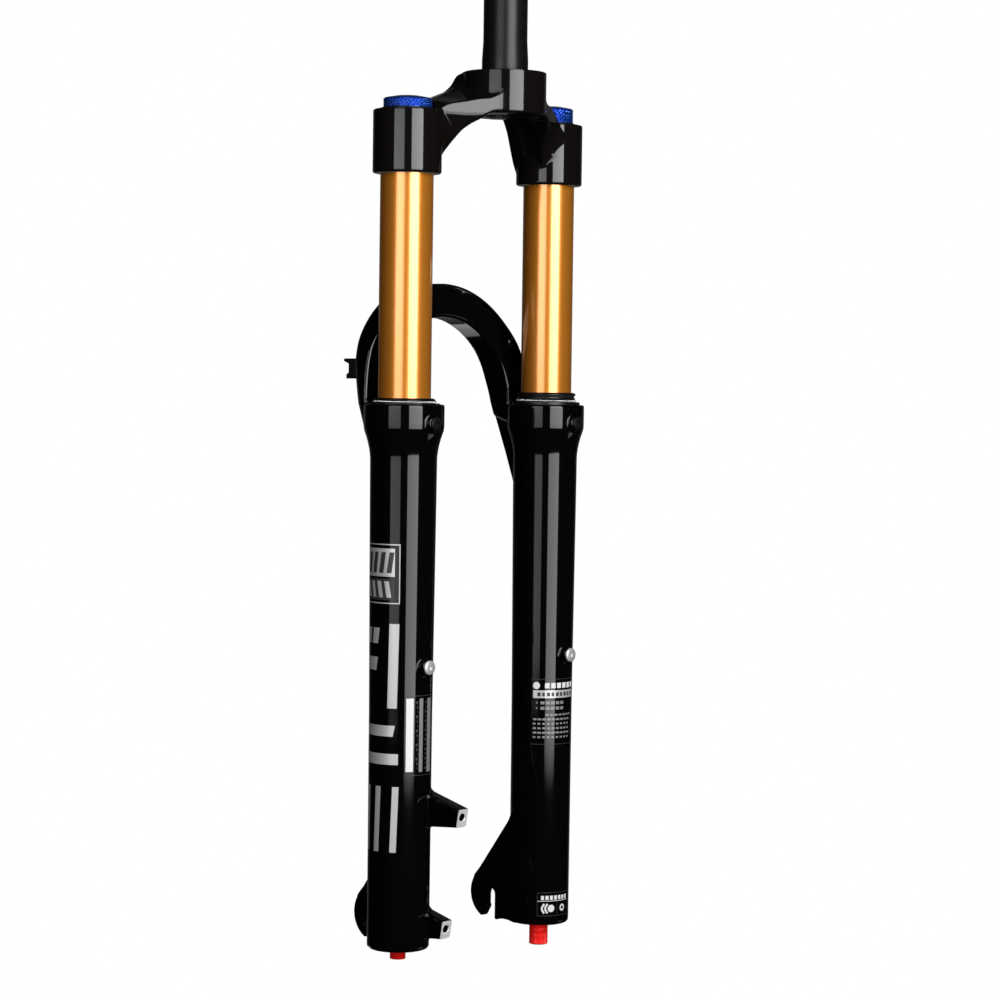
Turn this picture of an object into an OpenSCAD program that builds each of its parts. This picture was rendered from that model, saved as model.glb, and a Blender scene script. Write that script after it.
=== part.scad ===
// Air-sprung suspension fork for a 29 inch wheel, with 34 mm stanchions.
// Row frame: origin on the steering axis at the crown race seat, +Z up the steerer,
// +Y forward (direction of travel), +X to the rider's right. Millimetres.

/* [Steerer] */
// Outside diameter of the steerer, the 1-1/8 inch standard
steerer_d = 28.6; // [28.6:0.1:28.6]
// Length of the steerer above the crown race seat
steerer_len = 220; // [160:5:260]
// Diameter of the crown race seat
race_seat_d = 30; // [30:0.1:30.2]
// Height of the crown race seat
race_seat_h = 8; // [6:1:10]

/* [Crown] */
// Distance between the two stanchion axes
leg_spacing = 136; // [135:1:138]
// Distance of the stanchion axes ahead of the steering axis
crown_offset = 21; // [19:1:22]
// Diameter of the steerer boss
boss_d = 54; // [50:1:54]
// Height of the steerer boss
boss_h = 28; // [27:1:30]
// Outside diameter of each stanchion clamp
clamp_d = 44; // [42:1:44]
// Height of each stanchion clamp
clamp_h = 40.5; // [38:0.5:44]

/* [Stanchions] */
// Outside diameter of the stanchions
stanchion_d = 34; // [34:0.1:34]
// Wall thickness of the stanchions
stanchion_wall = 2.2; // [2:0.1:2.4]
// Suspension travel
travel = 120; // [100:10:120]

/* [Lower legs] */
// Length of each lower leg from its collar to its foot
leg_len = 349.5; // [345:0.5:355]
// Diameter of the seal collar
collar_d = 52; // [50:1:52]
// Diameter of a leg just under the collar
leg_top_d = 42.6; // [42:0.2:43]
// Diameter of a leg at the foot
leg_foot_d = 39.6; // [39:0.2:40]
// Distance of the axle ahead of the stanchion axes
axle_offset = 29; // [28:1:31]
// Distance between the inner faces of the dropouts
hub_width = 100; // [100:1:100]
// Depth of the arch from back to front
arch_depth = 21; // [16:1:22]

/* [Disc brake mount] */
// Distance between the two post mount bolts
post_pitch = 74.2; // [74.2:0.1:74.2]
// Tilt of the post faces from the leg axis, in degrees
post_tilt = 10.1; // [8:0.1:12]
// Minor diameter of the M6 threads
post_hole_d = 5; // [5:0.1:5]

/* [Hidden] */
$fn = 96;
EPS = 0.02;          // running clearance on radius
THREAD = 0.05;       // radial gap that stands for an unmodelled thread
OVER = 1;            // how far a cutter runs past a face

leg_x = leg_spacing / 2;
stanchion_r = stanchion_d / 2;
stanchion_bore = stanchion_r - stanchion_wall;
steerer_bore = 11.8;
press_r = 14.8;          // steerer pressed into the crown, just under the race seat's radius
clamp_top = -boss_h;
clamp_bottom = clamp_top - clamp_h;
stanchion_top = clamp_top - 2;
shut_gap = 26.5;         // stanchion still showing at full travel
collar_top = clamp_bottom - travel - shut_gap;
foot_z = collar_top - leg_len;
stanchion_bottom = collar_top - 189;
axle_y = crown_offset + axle_offset;
axle_z = foot_z + 16.5;
floor_z = foot_z + 20;         // top of the solid foot inside a leg
foot_seat_z = foot_z + 9;      // seat of the foot bolt's washer
piston_z = stanchion_bottom + 30;
seal_head_z = stanchion_bottom + 2;
seal_head_h = 18;
valve_z = clamp_bottom - 50;   // top of the compression valve

// Seats inside a leg, measured down from the collar
wiper_seat_h = 7;
foam_seat_h = 6;
bushing_h = 25;
lower_bushing_depth = 150;
wiper_seat_r = 21.5;
foam_seat_r = 20;
bushing_seat_r = stanchion_r + 1;
relief_r = bushing_seat_r + 0.4;
oil_r = 16.4;

// Arch, as two circles seen from the front
arch_back_y = crown_offset + stanchion_r + 7;
arch_front_y = arch_back_y + arch_depth;
arch_lean = 5;                 // how far the top of the arch leans forward
arch_outer_r = 79;
arch_inner_r = 57;
arch_foot_z = collar_top - 60;

// Rear bosses
bleed_z = collar_top - 12;
bleed_reach = 28.5;
port_z = collar_top - 167;
port_reach = 25;

// Post mount: the hole centres on the faces
post_x = -leg_x + 11.5;
post_w = 10.5;
post_h = 12;
post_depth = 18;
post_upper = [crown_offset - 44.7, foot_z + 87.8];
post_lower = post_upper + post_pitch * [sin(post_tilt), -cos(post_tilt)];

// Foot hardware
shaft_r = 5;
rod_r = 2;
foot_bolt_r = 4;
foot_hole_r = 4.3;
counterbore_r = 9.5;
guide_x = -leg_x + 9;
guide_z = collar_top + 22.6;
guide_w = 9;

// ---------- helpers ----------

module at_leg(side, z = 0) translate([side * leg_x, crown_offset, z]) children();

module at_both_legs(z = 0) for (side = [-1, 1]) at_leg(side, z) children();

module ring(r_out, r_in, h) difference() {
    cylinder(r = r_out, h = h);
    translate([0, 0, -OVER]) cylinder(r = r_in, h = h + 2 * OVER);
}

module torus(r, minor) rotate_extrude() translate([r, 0]) circle(r = minor, $fn = 32);

// 2D (y, z) outline extruded along X from x0 to x1
module side_prism(x0, x1) translate([x0, 0, 0]) rotate([90, 0, 90]) linear_extrude(x1 - x0) children();

// 2D (x, z) outline extruded along Y from y0 to y1
module front_prism(y0, y1) translate([0, y1, 0]) rotate([90, 0, 0]) linear_extrude(y1 - y0) children();

// A cylinder that points to the rear, from reach r0 to r1 off the leg axis
module rearward(r, r0, r1) translate([0, -r0, 0]) rotate([90, 0, 0]) cylinder(r = r, h = r1 - r0);

// A socket head screw along -Y, its head's face at reach face
module rear_screw(head_r, head_h, shank_r, shank_h, socket_r, face) difference() {
    union() {
        rearward(head_r, face - head_h, face);
        rearward(shank_r, face - head_h - shank_h, face - head_h);
    }
    translate([0, -face + head_h * 0.7, 0]) rotate([90, 0, 0]) cylinder(r = socket_r, h = head_h, $fn = 6);
}

// ---------- crown, steerer and stanchions ----------

module steerer_tube() color("#2b2c2e") rotate_extrude() polygon([
    [steerer_bore, -boss_h],
    [press_r, -boss_h],
    [press_r, 0],
    [race_seat_d / 2, 0],
    [race_seat_d / 2, race_seat_h],
    [steerer_d / 2, race_seat_h + 12],
    [steerer_d / 2, steerer_len - 0.8],
    [steerer_d / 2 - 0.8, steerer_len],
    [steerer_bore, steerer_len]
]);

module crown_front_outline() {
    arm_top_x = 22;
    arm_foot_x = leg_x - 20;
    underside_r = 55;
    difference() {
        polygon([
            [-arm_top_x, 0], [arm_top_x, 0],
            [arm_foot_x, clamp_top], [leg_x, clamp_top],
            [leg_x, clamp_bottom], [-leg_x, clamp_bottom],
            [-leg_x, clamp_top], [-arm_foot_x, clamp_top]
        ]);
        translate([0, -boss_h - underside_r]) circle(r = underside_r);
        translate([0, clamp_bottom - OVER]) square([2 * leg_x - clamp_d + 8, 30], center = true);
    }
}

module crown_plan() {
    arm_w = 17;
    polygon([
        [-leg_x, crown_offset + arm_w], [-leg_x + 16, crown_offset + arm_w - 1],
        [-14, boss_d / 2 - 3], [14, boss_d / 2 - 3],
        [leg_x - 16, crown_offset + arm_w - 1], [leg_x, crown_offset + arm_w],
        [leg_x, crown_offset - arm_w], [leg_x - 14, crown_offset - arm_w - 1],
        [16, -boss_d / 2 + 6], [-16, -boss_d / 2 + 6],
        [-leg_x + 14, crown_offset - arm_w - 1], [-leg_x, crown_offset - arm_w]
    ]);
}

module crown() color("#0c0c0e") difference() {
    union() {
        translate([0, 0, -boss_h]) cylinder(d = boss_d, h = boss_h);
        at_both_legs(clamp_bottom) cylinder(d = clamp_d, h = clamp_h);
        intersection() {
            front_prism(-boss_d, boss_d) crown_front_outline();
            translate([0, 0, clamp_bottom]) linear_extrude(-clamp_bottom) crown_plan();
        }
    }
    translate([0, 0, -boss_h - OVER]) cylinder(r = press_r, h = boss_h + 2 * OVER);
    at_both_legs(clamp_bottom - OVER) cylinder(r = stanchion_r, h = clamp_h + 40);
}

module stanchion(side) color("#c98a1e") at_leg(side, stanchion_bottom)
    ring(stanchion_r, stanchion_bore, stanchion_top - stanchion_bottom);

// ---------- top caps and knobs ----------

cap_top = clamp_top + 0.8;    // top of the fixed cap flange
knob_r = 15.8;
air_cap_h = 6.5;
lockout_knob_h = 10;
stem_r = 4;                   // valve stem
pin_r = 0.9;                  // valve pin
spigot_r = 9;                 // threaded spigot under the air valve cap

// Plug in the stanchion's top, with a flange over the clamp and an O-ring groove
module top_cap_body(hole_r) difference() {
    rotate_extrude() polygon([
        [hole_r, cap_top], [17.6, cap_top], [17.6, clamp_top],
        [stanchion_r - EPS, clamp_top], [stanchion_r - EPS, stanchion_top],
        [stanchion_bore - THREAD, stanchion_top], [stanchion_bore - THREAD, stanchion_top - 17],
        [stanchion_bore - 2, stanchion_top - 19], [hole_r, stanchion_top - 19]
    ]);
    translate([0, 0, stanchion_top - 13]) torus(stanchion_bore - 0.9, 0.9);
}

module air_top_cap() color("#15161a") at_leg(-1) {
    top_cap_body(stem_r - 1.2);
    translate([0, 0, cap_top]) ring(spigot_r, 5.5, 2.2);
    translate([0, 0, cap_top]) ring(stem_r, stem_r - 1.2, 4.6);
}

module air_valve_core() color("#b99a4a") at_leg(-1, cap_top - 12)
    ring(stem_r - 1.2, pin_r + EPS, 15.6);

module air_valve_pin() color("#c9a658") at_leg(-1, cap_top - 14) cylinder(r = pin_r, h = 18.4);

module damper_top_cap() color("#15161a") at_leg(1) top_cap_body(3 + EPS);

module top_cap_o_rings() color("#1a1a1a") at_both_legs(stanchion_top - 13) torus(stanchion_bore - 0.9, 0.85);

// Shallow domed cap with a knurled rim; z = 0 at its lower face
module knurled_cap(knob_h, cavity_r, cavity_h) difference() {
    rotate_extrude() polygon([
        [0, 0], [knob_r - 0.6, 0], [knob_r, 0.6], [knob_r, knob_h - 1],
        [knob_r - 1, knob_h], [8, knob_h + 0.8], [0, knob_h + 1]
    ]);
    translate([0, 0, -OVER]) cylinder(r = cavity_r, h = cavity_h + OVER);
    for (i = [0:23]) rotate([0, 0, i * 15]) translate([knob_r + 0.55, 0, -OVER])
        cylinder(r = 1, h = knob_h + 3, $fn = 24);
}

module air_valve_cap() color("#1d3fae") at_leg(-1, cap_top + 0.1)
    knurled_cap(air_cap_h, spigot_r + THREAD, 5.4);

module lockout_knob() color("#1d3fae") at_leg(1, cap_top + 0.1) difference() {
    knurled_cap(lockout_knob_h, 3 + EPS, 5);
    translate([0, 0, lockout_knob_h - 1.5]) cylinder(r = 2.6, h = 4);
    translate([0, 0, -OVER]) cylinder(r = 1.6, h = lockout_knob_h + 2 * OVER);
}

module lockout_knob_screw() color("#9a9da2") at_leg(1, cap_top + 0.1) difference() {
    union() {
        translate([0, 0, lockout_knob_h - 1.5]) cylinder(r = 2.5, h = 2.2);
        translate([0, 0, 5.05]) cylinder(r = 1.5, h = lockout_knob_h - 6.55);
    }
    translate([0, 0, lockout_knob_h - 0.5]) cylinder(r = 1.2, h = 3, $fn = 6);
}

module lockout_shaft() color("#9a9da2") at_leg(1, valve_z + 2)
    cylinder(r = 3, h = cap_top + 0.1 + 5 - valve_z - 2);

// Turning disc that covers the valve's ports when the damper is locked
module lockout_plate() color("#8f9296") at_leg(1, valve_z + 0.1) difference() {
    cylinder(r = 11, h = 1.9);
    for (i = [0:1]) rotate([0, 0, 180 * i]) translate([7, 0, -OVER]) cylinder(r = 2.4, h = 4);
}

module compression_tube() color("#2a2c30") at_leg(1, valve_z) difference() {
    cylinder(r = 13.5, h = stanchion_top - 19 - valve_z);
    translate([0, 0, -OVER]) cylinder(r = 11.5, h = stanchion_top - valve_z);
    for (i = [0:3]) rotate([0, 0, 90 * i]) translate([8, 0, 12]) rotate([0, 90, 0]) cylinder(r = 3, h = 10);
}

module compression_valve() color("#7f8388") at_leg(1, valve_z - 16) difference() {
    cylinder(r = stanchion_bore - THREAD, h = 16);
    for (i = [0:1]) rotate([0, 0, 180 * i]) translate([7, 0, -OVER]) cylinder(r = 2.4, h = 20);
    translate([0, 0, 7]) torus(stanchion_bore + 0.2, 1.2);
}

// ---------- inside the stanchions' lower ends ----------

module seal_head() difference() {
    cylinder(r = stanchion_bore - THREAD, h = seal_head_h);
    translate([0, 0, -OVER]) cylinder(r = shaft_r + EPS, h = seal_head_h + 2 * OVER);
    translate([0, 0, 9]) torus(stanchion_bore + 0.2, 1.2);
    translate([0, 0, seal_head_h - 4]) cylinder(r = 8, h = 6);
}

module air_seal_head() color("#8a8d92") at_leg(-1, seal_head_z) seal_head();

module damper_seal_head() color("#8a8d92") at_leg(1, seal_head_z) seal_head();

module seal_head_clips() color("#777777") at_both_legs(seal_head_z - 1.2) difference() {
    cylinder(r = stanchion_bore - EPS, h = 1.2);
    translate([0, 0, -OVER]) cylinder(r = 12.2, h = 4);
    translate([0, -2, -OVER]) cube([20, 4, 4]);
}

module topout_bumpers() color("#202020") at_both_legs(seal_head_z + seal_head_h - 4)
    ring(7.9, shaft_r + 0.4, piston_z - seal_head_z - seal_head_h + 4 - 0.2);

// ---------- lower legs ----------

module leg_body() rotate_extrude() polygon([
    [0, foot_z], [leg_foot_d / 2 - 2.5, foot_z], [leg_foot_d / 2 - 0.4, foot_z + 2.4],
    [leg_foot_d / 2, foot_z + 5],
    [leg_top_d / 2, collar_top - 34], [collar_d / 2, collar_top - 19],
    [collar_d / 2, collar_top - 1.2], [collar_d / 2 - 1.2, collar_top], [0, collar_top]
]);

module leg_bore() {
    rotate_extrude() polygon([
        [0, collar_top + OVER], [wiper_seat_r, collar_top + OVER],
        [wiper_seat_r, collar_top - wiper_seat_h], [foam_seat_r, collar_top - wiper_seat_h],
        [foam_seat_r, collar_top - wiper_seat_h - foam_seat_h],
        [bushing_seat_r, collar_top - wiper_seat_h - foam_seat_h],
        [bushing_seat_r, collar_top - wiper_seat_h - foam_seat_h - bushing_h],
        [relief_r, collar_top - wiper_seat_h - foam_seat_h - bushing_h - 1],
        [relief_r, collar_top - lower_bushing_depth + 1],
        [bushing_seat_r, collar_top - lower_bushing_depth],
        [bushing_seat_r, collar_top - lower_bushing_depth - bushing_h],
        [stanchion_r + 0.3, collar_top - lower_bushing_depth - bushing_h - 1],
        [stanchion_r + 0.3, floor_z + 12], [oil_r, floor_z + 8], [oil_r, floor_z], [0, floor_z]
    ]);
    translate([0, 0, foot_z - OVER]) cylinder(r = foot_hole_r, h = floor_z - foot_z + 2 * OVER);
    translate([0, 0, foot_z - OVER]) cylinder(r = counterbore_r, h = foot_seat_z - foot_z + OVER);
}

// The arch and its two feet, seen from the front
module arch_front_outline() difference() {
    union() {
        translate([0, collar_top]) circle(r = arch_outer_r);
        polygon([
            [-arch_outer_r, collar_top], [arch_outer_r, collar_top],
            [leg_x + 7, arch_foot_z], [-leg_x - 7, arch_foot_z]
        ]);
    }
    translate([0, collar_top]) circle(r = arch_inner_r);
    polygon([
        [-arch_inner_r, collar_top], [arch_inner_r, collar_top],
        [leg_x - 9, arch_foot_z - 60], [-leg_x + 9, arch_foot_z - 60]
    ]);
    translate([-arch_outer_r, arch_foot_z - arch_outer_r]) square([2 * arch_outer_r, arch_outer_r]);
}

// The same, seen from the side: the feet slope back down into the legs
module arch_side_outline() polygon([
    [crown_offset, arch_foot_z], [crown_offset + 20.5, arch_foot_z],
    [arch_front_y - 3, collar_top + 3], [arch_front_y, collar_top + 15],
    [arch_front_y + arch_lean, collar_top + arch_outer_r + OVER],
    [arch_back_y + arch_lean, collar_top + arch_outer_r + OVER],
    [arch_back_y, collar_top + 3], [arch_back_y, collar_top], [crown_offset, collar_top]
]);

// And seen from above: the outer front corners are cut back
module arch_plan() polygon([
    [-arch_outer_r - 1, crown_offset], [arch_outer_r + 1, crown_offset],
    [arch_outer_r + 1, arch_back_y + 8], [leg_x, arch_front_y], [leg_x - 20, arch_front_y + arch_lean + OVER],
    [-leg_x + 20, arch_front_y + arch_lean + OVER], [-leg_x, arch_front_y],
    [-arch_outer_r - 1, arch_back_y + 8]
]);

module arch() intersection() {
    front_prism(crown_offset, arch_front_y + arch_lean + OVER) arch_front_outline();
    side_prism(-arch_outer_r - OVER, arch_outer_r + OVER) arch_side_outline();
    translate([0, 0, arch_foot_z]) linear_extrude(arch_outer_r - arch_foot_z + collar_top + OVER) arch_plan();
}

dropout_t = 12;
lip_r = 17.7;
slot_r = 4.6;
recess_r = 12;
recess_depth = 5;

module dropout_outline() difference() {
    union() {
        translate([axle_y, axle_z]) circle(r = lip_r);
        polygon([
            [crown_offset, foot_z + 0.5], [axle_y - slot_r, foot_z + 0.5], [axle_y, axle_z],
            [axle_y + lip_r * cos(16), axle_z + lip_r * sin(16)],
            [crown_offset + 10.6, axle_z + 54.5], [crown_offset, axle_z + 69.5]
        ]);
    }
    translate([axle_y, axle_z]) circle(r = slot_r);
    translate([axle_y - slot_r, axle_z - 30]) square([2 * slot_r, 30]);
    // the hook's tip is cut back on a slope under the slot's mouth
    polygon([
        [axle_y, axle_z - 8.7], [axle_y + slot_r - 1, axle_z - 8.7],
        [axle_y + 9, axle_z - lip_r], [axle_y, axle_z - lip_r - OVER]
    ]);
    translate([axle_y - 30, foot_z - 9.5]) square([60, 10]);
}

module dropout(side) {
    inner = hub_width / 2;
    x = [side * inner, side * (inner + dropout_t)];
    difference() {
        side_prism(min(x), max(x)) dropout_outline();
        translate([side * (inner + dropout_t + OVER), axle_y, axle_z]) rotate([0, -side * 90, 0])
            cylinder(r = recess_r, h = recess_depth + OVER);
    }
}

// One post of the disc brake mount: face centre, root heights above and below it
module post(face, root_up, root_down) {
    along = [sin(post_tilt), -cos(post_tilt)];
    top = face - along * post_h / 2;
    low = face + along * post_h / 2;
    side_prism(post_x - post_w / 2, post_x + post_w / 2) polygon([
        top, low, [crown_offset - 8, face[1] - root_down], [crown_offset - 8, face[1] + root_up]
    ]);
}

module post_hole(face) translate([post_x, face[0], face[1]]) rotate([90 + post_tilt, 0, 0])
    translate([0, 0, -post_depth]) cylinder(d = post_hole_d, h = post_depth + OVER);

module lower_legs() color("#08080a") difference() {
    union() {
        at_both_legs() leg_body();
        arch();
        for (side = [-1, 1]) dropout(side);
        post(post_upper, 16, 8);
        post(post_lower, 12, 8);
        at_both_legs(bleed_z) rearward(5.5, 20, bleed_reach);
        at_both_legs(port_z) rearward(5, 19, port_reach);
    }
    at_both_legs() leg_bore();
    post_hole(post_upper);
    post_hole(post_lower);
    at_both_legs(bleed_z) rearward(2.5, 22, bleed_reach + OVER);
    at_both_legs(bleed_z) rearward(4.2, bleed_reach - 3, bleed_reach + OVER);
    at_both_legs(port_z) rearward(2.5, 19.5, port_reach + OVER);
    translate([guide_x, arch_front_y - 8, guide_z]) rotate([-90, 0, 0]) cylinder(r = 1.6, h = 12);
}

// ---------- seals, foam and bushings ----------

// The left wiper is pushed further into its seat than the right one
function lip_h(side) = side < 0 ? 3.8 : 8.2;
function garter_z(side) = collar_top + (side < 0 ? 1.5 : 2.8);

module wiper_seal(side) color("#101010") at_leg(side) difference() {
    h = lip_h(side);
    rotate_extrude() polygon([
        [stanchion_r + EPS, collar_top - wiper_seat_h], [wiper_seat_r, collar_top - wiper_seat_h],
        [wiper_seat_r, collar_top], [22.8, collar_top], [22.8, collar_top + 0.5],
        [19.4, collar_top + 0.6], [19.9, collar_top + 0.48 * h], [19, collar_top + 0.55 * h],
        [19, collar_top + 0.68 * h], [20, collar_top + 0.76 * h], [20, collar_top + 0.9 * h],
        [stanchion_r + 0.8, collar_top + h], [stanchion_r + EPS, collar_top + h]
    ]);
    translate([0, 0, garter_z(side)]) torus(19.7, 0.72);
}

module wiper_springs() color("#d8d8d8") for (side = [-1, 1]) at_leg(side, garter_z(side)) torus(19.7, 0.7);

module foam_rings() color("#4a4a48") at_both_legs(collar_top - wiper_seat_h - foam_seat_h)
    ring(foam_seat_r, stanchion_r + 0.05, foam_seat_h);

module bushing(side, z) color("#8a7a5a") at_leg(side, z) difference() {
    ring(bushing_seat_r, stanchion_r + EPS, bushing_h);
    translate([0, -0.4, -OVER]) cube([30, 0.8, bushing_h + 2 * OVER]);
}

upper_bushing_z = collar_top - wiper_seat_h - foam_seat_h - bushing_h;
lower_bushing_z = collar_top - lower_bushing_depth - bushing_h;

// ---------- air spring ----------

module air_shaft() color("#b9bcc0") at_leg(-1) difference() {
    translate([0, 0, floor_z]) cylinder(r = shaft_r, h = piston_z + 3 - floor_z);
    translate([0, 0, floor_z - OVER]) cylinder(r = foot_bolt_r + EPS, h = 22 + OVER);
}

module air_piston() color("#3a3c40") at_leg(-1, piston_z) difference() {
    cylinder(r = stanchion_bore - THREAD, h = 14);
    translate([0, 0, -OVER]) cylinder(r = shaft_r + EPS, h = 3 + OVER + 0.1);
    translate([0, 0, 7]) rotate_extrude() translate([stanchion_bore - 2.2, -1.6]) square([4, 3.2]);
}

module air_piston_seal() color("#181818") at_leg(-1, piston_z + 7 - 1.5)
    ring(stanchion_bore - EPS, stanchion_bore - 2.1, 3);

// ---------- damper ----------

module damper_shaft() color("#b9bcc0") at_leg(1) difference() {
    translate([0, 0, floor_z]) cylinder(r = shaft_r, h = piston_z + 16 - floor_z);
    translate([0, 0, floor_z - OVER]) cylinder(r = rod_r + 0.08, h = piston_z + 20 - floor_z);
    translate([0, 0, floor_z - OVER]) cylinder(r = foot_bolt_r + EPS, h = 22 + OVER);
}

module rebound_piston() color("#7f8388") at_leg(1, piston_z) difference() {
    cylinder(r = stanchion_bore - THREAD, h = 14);
    translate([0, 0, -OVER]) cylinder(r = shaft_r + EPS, h = 20);
    for (i = [0:5]) rotate([0, 0, 60 * i]) translate([9, 0, -OVER]) cylinder(r = 1.8, h = 20);
    translate([0, 0, 7]) rotate_extrude() translate([stanchion_bore - 1.2, -3]) square([4, 6]);
}

module piston_glide_ring() color("#c8c2b0") at_leg(1, piston_z + 7 - 2.9) difference() {
    ring(stanchion_bore - EPS, stanchion_bore - 1.1, 5.8);
    translate([0, -0.5, -OVER]) cube([20, 1, 10]);
}

module rebound_shims() color("#a5a8ac") at_leg(1, piston_z + 14) {
    for (i = [0:3]) translate([0, 0, i * 0.35]) ring(11.5 - 1.2 * i, shaft_r + EPS, 0.3);
}

// ---------- foot hardware ----------

module foot_bolt_shank(bore) difference() {
    union() {
        translate([0, 0, foot_seat_z - 5.2]) cylinder(r = 7.5, h = 4);
        translate([0, 0, foot_seat_z - 1.2]) cylinder(r = foot_bolt_r, h = floor_z - foot_seat_z + 1.2 + 20);
    }
    if (bore > 0) translate([0, 0, foot_z - OVER]) cylinder(r = bore, h = 60);
}

air_bolt_reach = 7;               // how far the air bolt's head stands below the foot

module air_foot_bolt() color("#d3221b") at_leg(-1) difference() {
    union() {
        foot_bolt_shank(0);
        translate([0, 0, foot_z - air_bolt_reach])
            cylinder(r = 5.1, h = air_bolt_reach + foot_seat_z - foot_z - 5.2);
    }
    translate([0, 0, foot_z - air_bolt_reach - OVER]) cylinder(r = 2.9, h = 6 + OVER, $fn = 6);
}

module damper_foot_bolt() color("#5c5f63") at_leg(1) foot_bolt_shank(rod_r + 0.08);

module crush_washers() color("#c4c6c8") at_both_legs(foot_seat_z - 1.2) ring(8.2, foot_bolt_r + EPS, 1.2);

module bottom_out_bumpers() color("#202020") at_both_legs(floor_z) ring(11, shaft_r + EPS, 12);

rebound_top = foot_seat_z - 5.8;
rebound_reach = 15.5;             // how far the rebound knob stands below the foot
rebound_r = 6.4;
rebound_h = rebound_top - foot_z + rebound_reach;

module rebound_knob() color("#d3221b") at_leg(1, foot_z - rebound_reach) difference() {
    rotate_extrude() polygon([
        [0, 0], [rebound_r - 0.8, 0], [rebound_r, 0.8],
        [rebound_r, rebound_h - 0.8], [rebound_r - 0.8, rebound_h], [0, rebound_h]
    ]);
    for (i = [0:19]) rotate([0, 0, i * 18]) translate([rebound_r + 0.45, 0, -OVER])
        cylinder(r = 0.7, h = rebound_reach + 1, $fn = 16);
    translate([0, 0, rebound_h - 8]) cylinder(r = rod_r + EPS, h = 10);
    translate([0, 0, -OVER]) cylinder(r = 1.6, h = 3, $fn = 6);
}

module rebound_rod() color("#9a9da2") at_leg(1) translate([0, 0, rebound_top - 8])
    cylinder(r = rod_r, h = piston_z + 12 - rebound_top + 8);

// ---------- screws and hose guide ----------

module bleed_screws() color("#141416") at_both_legs(bleed_z)
    rear_screw(4.1, 3, 2.4, 3.2, 1.6, bleed_reach + 0.9);

module port_screws() color("#c9cbcd") at_both_legs(port_z)
    rear_screw(4.6, 1.6, 2.4, 4.5, 1.4, port_reach + 1.6);

guide_y = arch_front_y + 0.6;     // the arch's leaning face is flush with this at the guide

module hose_guide() color("#0e0e10") difference() {
    side_prism(guide_x - guide_w / 2, guide_x + guide_w / 2) polygon([
        [guide_y, guide_z - 6.6], [guide_y + 12, guide_z - 6.8], [guide_y + 12, guide_z - 4],
        [guide_y + 10, guide_z - 2.8], [guide_y + 10, guide_z + 3], [guide_y + 14.4, guide_z + 4.6],
        [guide_y + 14.4, guide_z + 6.3], [guide_y + 1.2, guide_z + 6.4]
    ]);
    translate([guide_x, guide_y - OVER, guide_z]) rotate([-90, 0, 0]) cylinder(r = 1.7, h = 20);
    translate([guide_x, guide_y + 5, guide_z]) rotate([-90, 0, 0]) cylinder(r = 3, h = 20);
}

module hose_guide_screw() color("#b0b2b5") translate([guide_x, guide_y, guide_z]) rotate([-90, 0, 0])
    difference() {
        union() {
            translate([0, 0, 5]) cylinder(r = 2.8, h = 1.8);
            translate([0, 0, -6]) cylinder(r = 1.55, h = 11);
        }
        translate([0, 0, 5.8]) cylinder(r = 1.1, h = 2, $fn = 6);
    }

// ---------- nodes ----------

steerer_tube();
crown();
stanchion(-1);  // stanchion_left
stanchion(1);  // stanchion_right
air_top_cap();
air_valve_core();
air_valve_pin();
damper_top_cap();
top_cap_o_rings();
air_seal_head();
damper_seal_head();
seal_head_clips();
topout_bumpers();
compression_tube();
compression_valve();
air_valve_cap();
lockout_knob();
lockout_knob_screw();
lockout_shaft();
lockout_plate();
lower_legs();
wiper_seal(-1);  // wiper_seal_left
wiper_seal(1);  // wiper_seal_right
wiper_springs();
foam_rings();
bushing(-1, upper_bushing_z);  // upper_bushing_left
bushing(1, upper_bushing_z);  // upper_bushing_right
bushing(-1, lower_bushing_z);  // lower_bushing_left
bushing(1, lower_bushing_z);  // lower_bushing_right
air_shaft();
air_piston();
air_piston_seal();
damper_shaft();
rebound_piston();
piston_glide_ring();
rebound_shims();
air_foot_bolt();
damper_foot_bolt();
crush_washers();
bottom_out_bumpers();
bleed_screws();
port_screws();
hose_guide();
hose_guide_screw();
rebound_knob();
rebound_rod();
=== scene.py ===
"""Looks for the suspension fork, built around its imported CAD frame.

Lengths are in millimetres until a mesh is made.
"""

import math

import bmesh
import bpy
import numpy as np
from mathutils import Matrix, Vector


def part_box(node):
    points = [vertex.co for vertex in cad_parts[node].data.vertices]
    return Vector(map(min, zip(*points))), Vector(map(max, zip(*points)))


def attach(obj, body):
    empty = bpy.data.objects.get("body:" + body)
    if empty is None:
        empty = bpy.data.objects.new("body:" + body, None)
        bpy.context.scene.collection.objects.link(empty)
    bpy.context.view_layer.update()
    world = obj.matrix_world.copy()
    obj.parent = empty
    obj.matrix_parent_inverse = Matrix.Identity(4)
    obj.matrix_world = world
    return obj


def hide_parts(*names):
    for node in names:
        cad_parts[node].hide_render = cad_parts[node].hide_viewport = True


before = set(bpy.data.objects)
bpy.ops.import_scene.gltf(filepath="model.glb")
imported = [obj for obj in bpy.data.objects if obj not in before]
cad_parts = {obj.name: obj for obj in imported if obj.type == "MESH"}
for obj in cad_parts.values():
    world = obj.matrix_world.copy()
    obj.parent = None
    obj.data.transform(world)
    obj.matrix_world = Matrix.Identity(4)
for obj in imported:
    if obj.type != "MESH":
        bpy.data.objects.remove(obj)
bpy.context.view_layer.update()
MM = 0.001
TAU = 2 * math.pi

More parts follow.
